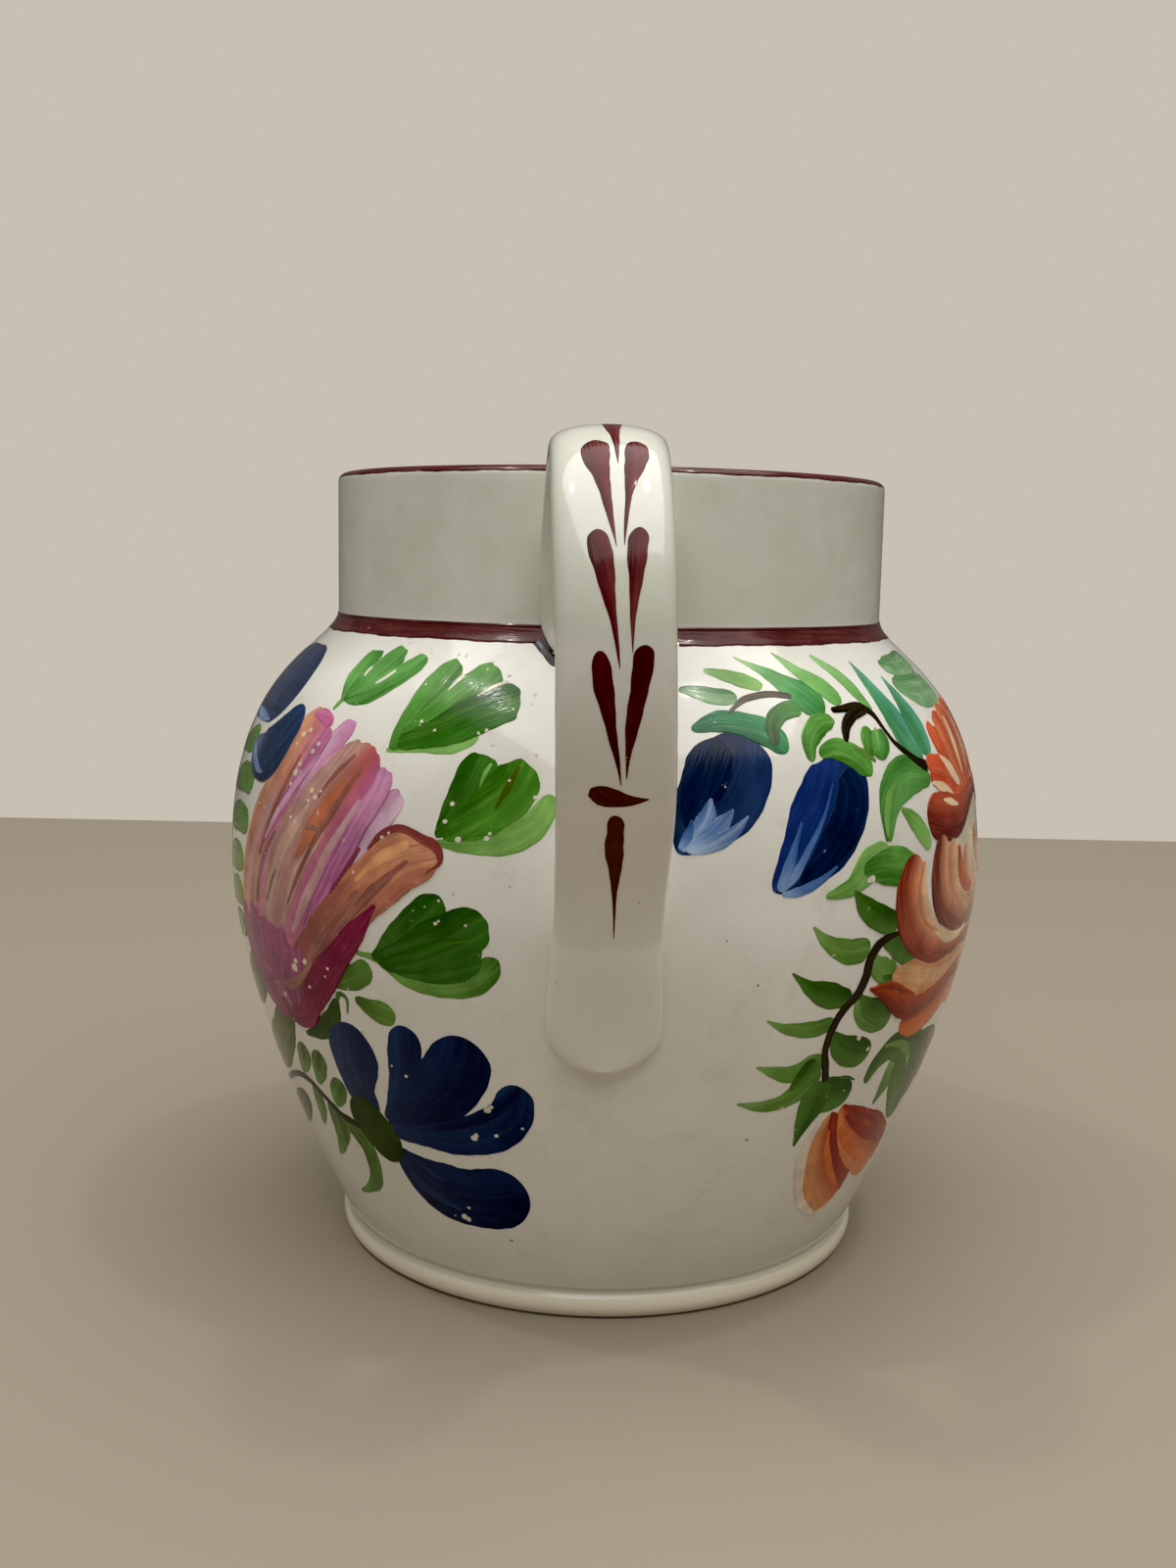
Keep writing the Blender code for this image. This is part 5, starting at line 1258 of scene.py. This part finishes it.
rose_heart = [
    (HEART, [(61.5, 76.0, 10.0), (66.0, 81.0, 17.0), (73.0, 83.6, 20.0), (80.0, 81.0, 17.0),
             (84.5, 76.0, 10.0)]),
    (ORANGE_LOW, [(60.0, 59.0, 5.0), (66.0, 55.6, 7.0), (73.0, 54.0, 7.6), (80.0, 55.6, 7.0),
                  (86.0, 59.0, 5.0)]),
    (BRICK, [(60.0, 57.4, 1.0), (66.0, 58.6, 3.4), (73.0, 58.4, 4.0), (80.0, 58.6, 3.4), (86.0, 57.4, 1.0)]),
    (SAND, [(60.0, 61.6, 3.0), (66.0, 62.4, 5.4), (73.0, 62.0, 6.2), (80.0, 62.4, 5.4), (86.0, 61.6, 3.0)]),
    (OUTER, [(58.0, 66.4, 3.0), (65.0, 66.0, 4.8), (73.0, 65.8, 5.4), (81.0, 66.0, 4.8), (88.0, 66.4, 3.0)]),
    (INNER, [(58.0, 71.4, 4.0), (65.0, 70.6, 6.4), (73.0, 70.2, 7.0), (81.0, 70.6, 6.4), (88.0, 71.4, 4.0)]),
    (PEACH, [(63.4, 83.0, 4.0), (65.0, 77.4, 6.0), (69.0, 74.6, 6.0), (75.0, 74.4, 5.0), (79.0, 76.0, 2.0)]),
    (FAN_RED, [(76.0, 76.0, 2.0), (79.0, 79.0, 5.0), (80.0, 84.0, 4.6)]),
    (PEACH, [(70.0, 86.0, 2.0), (71.6, 81.0, 5.4), (75.6, 79.4, 4.6), (78.0, 81.4, 2.0)]),
    (CREAM, [(67.6, 84.4, 0.8), (68.4, 80.0, 2.2), (71.0, 77.2, 1.8), (74.0, 76.8, 0.6)]),
]
rose_left = [
    (FAN_RED, [(66.0, 92.0, 3.0), (61.4, 98.6, 6.0), (58.6, 105.2, 6.4)]),
    (FAN_RED, [(67.0, 92.0, 3.0), (64.0, 100.6, 6.4), (62.6, 109.0, 6.0)]),
    (FAN_RED, [(70.0, 92.6, 3.0), (71.0, 101.6, 7.4), (72.6, 110.6, 7.0)]),
    (FAN_RED, [(68.0, 92.6, 3.0), (67.2, 101.6, 6.4), (67.6, 110.4, 6.2)]),
    (CREAM, [(66.4, 95.6, 0.6), (66.6, 101.0, 2.4), (67.2, 106.6, 0.8)]),
    (CREAM, [(71.0, 96.0, 0.6), (72.2, 102.0, 1.8), (73.0, 107.0, 0.6)]),
    (TIP_RED, [(61.6, 94.6, 2.0), (57.4, 98.0, 4.4), (52.6, 99.2, 2.8)]),
    (TIP_RED, [(61.0, 99.0, 2.0), (58.8, 102.8, 4.0), (58.0, 106.6, 2.6)]),
    (CREAM, [(57.8, 99.8, 0.6), (60.4, 97.4, 2.6), (63.4, 93.8, 1.4)]),
    (TIP_RED, [(53.0, 96.8, 2.4), (57.0, 95.0, 4.6), (61.6, 92.4, 3.6), (66.0, 91.4, 2.0)]),
    (CREAM, [(53.2, 95.6, 0.6), (56.8, 93.9, 2.2), (60.8, 91.2, 1.2)]),
    (BULB, [(50.4, 91.0, 6.6), (54.6, 89.4, 9.0), (59.0, 88.8, 8.0), (64.0, 90.0, 5.4), (69.0, 92.0, 4.0),
            (73.0, 92.8, 3.0)]),
    (CREAM, [(55.6, 92.2, 0.4), (58.2, 91.4, 1.4), (61.0, 90.6, 0.5)]),
    (ORANGE_LOW, [(48.4, 52.6, 3.6), (52.4, 52.2, 6.0), (58.0, 52.8, 6.6), (64.0, 55.0, 5.0),
                  (70.0, 57.0, 3.0)]),
    (SAND, [(43.2, 63.4, 2.2), (47.6, 62.3, 6.6), (53.0, 60.6, 8.0), (59.0, 60.4, 6.0), (66.0, 62.4, 3.0)]),
    (BRICK, [(39.0, 61.8, 0.5), (42.4, 60.0, 2.4), (46.0, 57.4, 4.2), (50.6, 55.6, 4.6), (56.0, 56.2, 4.0),
             (62.0, 58.6, 3.0), (67.0, 61.0, 1.0)]),
    (BRICK, [(39.4, 61.6, 0.6), (43.0, 61.6, 1.4), (46.6, 60.0, 1.2), (50.0, 58.2, 0.4)]),
    (OUTER, [(46.8, 84.0, 4.0), (45.4, 78.0, 8.2), (46.8, 72.2, 8.8), (51.0, 67.8, 7.4), (57.0, 65.6, 5.0),
             (64.0, 65.4, 3.0)]),
    (CREAM, [(51.6, 70.4, 0.6), (55.8, 67.8, 2.0), (61.0, 66.8, 2.0), (66.0, 67.4, 0.6)]),
    (PEACH, [(48.6, 82.6, 1.0), (48.2, 77.6, 3.0), (50.0, 72.6, 3.0), (53.6, 69.4, 1.0)]),
    (INNER, [(54.4, 86.2, 4.0), (53.6, 80.0, 7.4), (55.2, 74.8, 8.4), (59.8, 71.4, 7.0), (66.0, 69.8, 4.0)]),
    (PEACH, [(57.8, 85.0, 3.6), (57.6, 79.6, 5.6), (59.8, 75.4, 5.6), (64.6, 72.8, 3.6)]),
    (FAN_RED, [(60.0, 83.4, 1.0), (60.6, 79.0, 3.6), (63.4, 75.8, 3.4), (67.0, 75.0, 1.0)]),
]
enamel_piece("rose", rose_heart + copied(rose_left, mirror_at=RIGHT_AXIS) + rose_left, rose_enamel, seed=17)

# The ochre flower
# Two broad dabs low on the right, brick at the upper edge and worn away to a breath of
# ochre at the outer tips.
OCHRE_BREATH = paint(ink(226, 158, 108), ink(230, 186, 146), ink(234, 206, 176), left=ink(222, 128, 70),
                     right=ink(240, 228, 210), streak=ink(234, 204, 170), strength=0.20, reach=1.7, fray=1.5)
OCHRE = paint(ink(172, 52, 6), ink(180, 60, 8), ink(198, 86, 28), left=ink(132, 22, 0),
              right=ink(224, 156, 104), streak=ink(206, 100, 42), strength=0.24, reach=0.7, fray=2.2)
OCHRE_RIGHT = paint(ink(194, 60, 8), ink(196, 66, 12), ink(196, 78, 24), left=ink(134, 20, 0),
                    right=ink(222, 136, 76), streak=ink(226, 120, 56), strength=0.30, reach=0.9, fray=0.8)
OCHRE_DARK = paint(ink(144, 16, 0), ink(136, 12, 0), ink(150, 34, 8), streak=ink(186, 60, 16), strength=0.40)
OCHRE_GLOW = paint(ink(214, 100, 32), ink(218, 112, 46), streak=ink(230, 146, 84), strength=0.40)
ochre_enamel = enamel("ochre_enamel", worn=0.018)
ochre_flower = [
    (OCHRE_BREATH, [(37.4, 37.4, 3.0), (37.0, 31.0, 8.4), (39.2, 24.0, 11.6), (43.8, 17.0, 10.0),
                    (48.4, 13.0, 6.4)]),
    (OCHRE, [(38.1, 37.4, 3.0), (38.7, 31.4, 8.6), (41.6, 25.0, 13.0), (46.0, 19.0, 13.0),
             (50.3, 14.5, 8.8)]),
    (OCHRE_DARK, [(38.0, 37.6, 0.9), (39.4, 32.6, 2.2), (42.4, 27.2, 3.4), (46.4, 22.8, 3.6),
                  (50.8, 18.4, 1.6)]),
    (OCHRE_GLOW, [(38.6, 33.6, 0.6), (40.2, 28.2, 1.8), (43.6, 22.6, 2.0), (47.4, 18.4, 0.6)]),
    (OCHRE_RIGHT, [(39.9, 38.2, 1.6), (44.2, 32.2, 7.6), (50.0, 27.4, 11.0), (56.0, 23.6, 12.0),
                   (61.0, 21.0, 9.4)]),
    (OCHRE_GLOW, [(41.0, 33.4, 0.8), (44.6, 29.2, 2.2), (49.6, 25.0, 2.6), (55.0, 21.6, 0.8)]),
    (OCHRE_DARK, [(40.2, 38.4, 0.7), (45.0, 35.8, 1.8), (50.0, 33.3, 2.2), (55.0, 30.4, 2.0),
                  (58.8, 27.8, 0.6)]),
    (OCHRE_DARK, [(41.4, 36.0, 0.6), (46.0, 32.0, 1.8), (51.0, 28.8, 2.2), (57.0, 25.4, 1.0)]),
]
enamel_piece("ochre_flower", ochre_flower, ochre_enamel, seed=18)
enamel_piece("ochre_flower_far", copied(ochre_flower, mirror_at=RIGHT_AXIS), ochre_enamel, seed=38)

# The front spray
# Under the spout, out of sight of the photograph, the painter closed the two sprays with
# a small red flower of five petals, with the same leaves round it.
FRONT = 176.0
BLOOM_RISE = 76.0
PETAL_SWELL = (0.35, 0.85, 0.80)
bloom = []
for petal in range(5):
    lean = math.radians(90.0 + 72.0 * petal)
    for load, near, far, wide in ((OUTER, 3.0, 16.5, 13.0), (PEACH, 4.0, 11.5, 6.0), (CREAM, 5.0, 9.5, 1.8)):
        steps = np.linspace(near, far, 3)
        route = (FRONT + steps * math.cos(lean) / CHART, BLOOM_RISE + steps * math.sin(lean),
                 wide * np.array(PETAL_SWELL))
        bloom.append((load, np.column_stack(route).tolist()))
bloom += [(HEART, [(FRONT - 2.6, BLOOM_RISE - 0.6, 5.6), (FRONT + 2.6, BLOOM_RISE + 0.4, 5.6)]),
          (BRICK, [(FRONT - 1.0, BLOOM_RISE, 1.6), (FRONT + 1.0, BLOOM_RISE, 1.6)])]
front_leaves = []
for dabs, first, across, up in ((leaf_four, -31.0, 12.0, 84.0), (leaf_two, -31.0, 13.0, 58.0),
                                (leaf_one, -44.0, 4.0, 97.0), (leaf_three, -21.0, 5.0, 46.0)):
    lowest = dabs[1][1][0][1]
    front_leaves += copied(dabs, turned=FRONT + across - first, raised=up - lowest)
    front_leaves += copied(dabs, mirror_at=0.0, turned=FRONT - across + first, raised=up - lowest)
front_stems = [(STEM, [(FRONT, 72.0, 1.0), (FRONT + 0.4, 60.0, 1.4), (FRONT + 0.6, 48.0, 1.5),
                       (FRONT - 0.6, 36.0, 1.3), (FRONT + 1.0, 24.0, 0.6)]),
               (STEM, [(FRONT - 0.6, 90.0, 0.9), (FRONT, 98.0, 1.3), (FRONT + 0.8, 108.0, 0.6)])]
for hand in (-1.0, 1.0):
    for twig in (((0.0, 50.0, 1.1), (6.0, 53.0, 1.2), (13.4, 58.6, 0.7)),
                 ((0.0, 39.0, 0.9), (2.6, 41.6, 1.0), (5.2, 46.6, 0.6)),
                 ((0.0, 92.0, 0.8), (2.0, 94.2, 1.0), (4.2, 97.6, 0.6))):
        front_stems.append((STEM, [(FRONT + out * hand, rise, wide) for out, rise, wide in twig]))
enamel_piece("front_stems", front_stems, stem_enamel, seed=39)
enamel_piece("front_leaves", front_leaves, leaf_enamel, seed=19)
enamel_piece("front_bloom", bloom, rose_enamel, seed=21)

# The floor, the light and the camera
# A plain pale floor in a plain pale room, and soft studio light from above. The camera
# is where the photographer's was: a little above the handle and close to the jug.
FLOOR_SIZE = 0.46
FLOOR_COLOUR = ink(152, 141, 126)
FLOOR_ROUGH = 0.6
LAMP_AIM = (0.0, 0.0, 0.08)
BULB_SIZE = (0.06, 0.06)
BULB_TINT = (1.0, 0.97, 0.92)
ROOM_SHADE, ROOM_STRENGTH = ink(214, 209, 200), 0.17
ROOM_PALE = ink(200, 193, 180)
BLACK_LEVEL = 0.009
VIEW_FROM = (0.0, -0.31670, 0.13398)
YAW, PITCH, ROLL = (math.radians(angle) for angle in (-0.622, 8.14, 1.084))
SENSOR = 24.0
FOCAL_PIXELS, FRAME_PIXELS = 1615.9, 1600.0
LENS = SENSOR * FOCAL_PIXELS / FRAME_PIXELS


def plain_sheet(name, corners, colour):
    """A flat matt sheet through four corners."""
    mesh = bpy.data.meshes.new(name)
    mesh.from_pydata(corners, [], [(0, 1, 2, 3)])
    sheet = bpy.data.objects.new(name, mesh)
    bpy.context.scene.collection.objects.link(sheet)
    finish, shader, node, join = new_finish(name + "_matt")
    shader.inputs["Base Color"].default_value = (*colour, 1.0)
    shader.inputs["Roughness"].default_value = FLOOR_ROUGH
    mesh.materials.append(finish)


plain_sheet("floor", [(-FLOOR_SIZE, -FLOOR_SIZE, 0.0), (FLOOR_SIZE, -FLOOR_SIZE, 0.0),
                      (FLOOR_SIZE, FLOOR_SIZE, 0.0), (-FLOOR_SIZE, FLOOR_SIZE, 0.0)], FLOOR_COLOUR)


def soft_light(name, place, size, power, tint):
    """A rectangular lamp that faces the jug's middle."""
    data = bpy.data.lights.new(name, "AREA")
    data.shape = "RECTANGLE"
    data.size, data.size_y = size
    data.energy = power
    data.color = tint
    lamp = bpy.data.objects.new(name, data)
    lamp.location = place
    lamp.rotation_euler = (Vector(LAMP_AIM) - Vector(place)).to_track_quat("-Z", "Y").to_euler()
    bpy.context.scene.collection.objects.link(lamp)


soft_light("ceiling", (0.15, -0.35, 1.90), (2.8, 2.8), 64.0, (1.0, 0.985, 0.955))
soft_light("window", (-1.5, -1.3, 0.7), (1.6, 1.4), 1.2, (0.95, 0.98, 1.0))
soft_light("left_bulb", (-0.60, -0.17, 1.40), BULB_SIZE, 2.2, BULB_TINT)
soft_light("right_bulb", (0.43, -0.16, 1.40), BULB_SIZE, 1.8, BULB_TINT)

world = bpy.data.worlds.new("room")
bpy.context.scene.world = world
world.use_nodes = True
room, room_links = world.node_tree.nodes, world.node_tree.links
dim = room["Background"]
dim.inputs["Color"].default_value = (*ROOM_SHADE, 1.0)
dim.inputs["Strength"].default_value = ROOM_STRENGTH
pale = room.new("ShaderNodeBackground")
pale.inputs["Color"].default_value = (*ROOM_PALE, 1.0)
seen = room.new("ShaderNodeLightPath")
either = room.new("ShaderNodeMixShader")
room_links.new(seen.outputs["Is Camera Ray"], either.inputs[0])
room_links.new(dim.outputs["Background"], either.inputs[1])
room_links.new(pale.outputs["Background"], either.inputs[2])
room_links.new(either.outputs["Shader"], room["World Output"].inputs["Surface"])

cam_data = bpy.data.cameras.new("camera")
cam_data.sensor_fit = "VERTICAL"
cam_data.sensor_height = SENSOR
cam_data.lens = LENS
cam_data.clip_start = 0.01
cam = bpy.data.objects.new("camera", cam_data)
right = Vector((math.cos(YAW), -math.sin(YAW), 0.0))
up = Vector((math.sin(YAW) * math.sin(PITCH), math.cos(YAW) * math.sin(PITCH), math.cos(PITCH)))
ahead = Vector((math.sin(YAW) * math.cos(PITCH), math.cos(YAW) * math.cos(PITCH), -math.sin(PITCH)))
turned_right = math.cos(ROLL) * right + math.sin(ROLL) * up
turned_up = -math.sin(ROLL) * right + math.cos(ROLL) * up
axes = Matrix((turned_right, turned_up, -ahead)).transposed().to_4x4()
cam.matrix_world = Matrix.Translation(Vector(VIEW_FROM)) @ axes
bpy.context.scene.collection.objects.link(cam)
bpy.context.scene.camera = cam

view = bpy.context.scene.view_settings
view.view_transform = "Standard"
view.look = "None"
view.use_curve_mapping = True
view.curve_mapping.black_level = (BLACK_LEVEL, BLACK_LEVEL, BLACK_LEVEL)
view.curve_mapping.update()
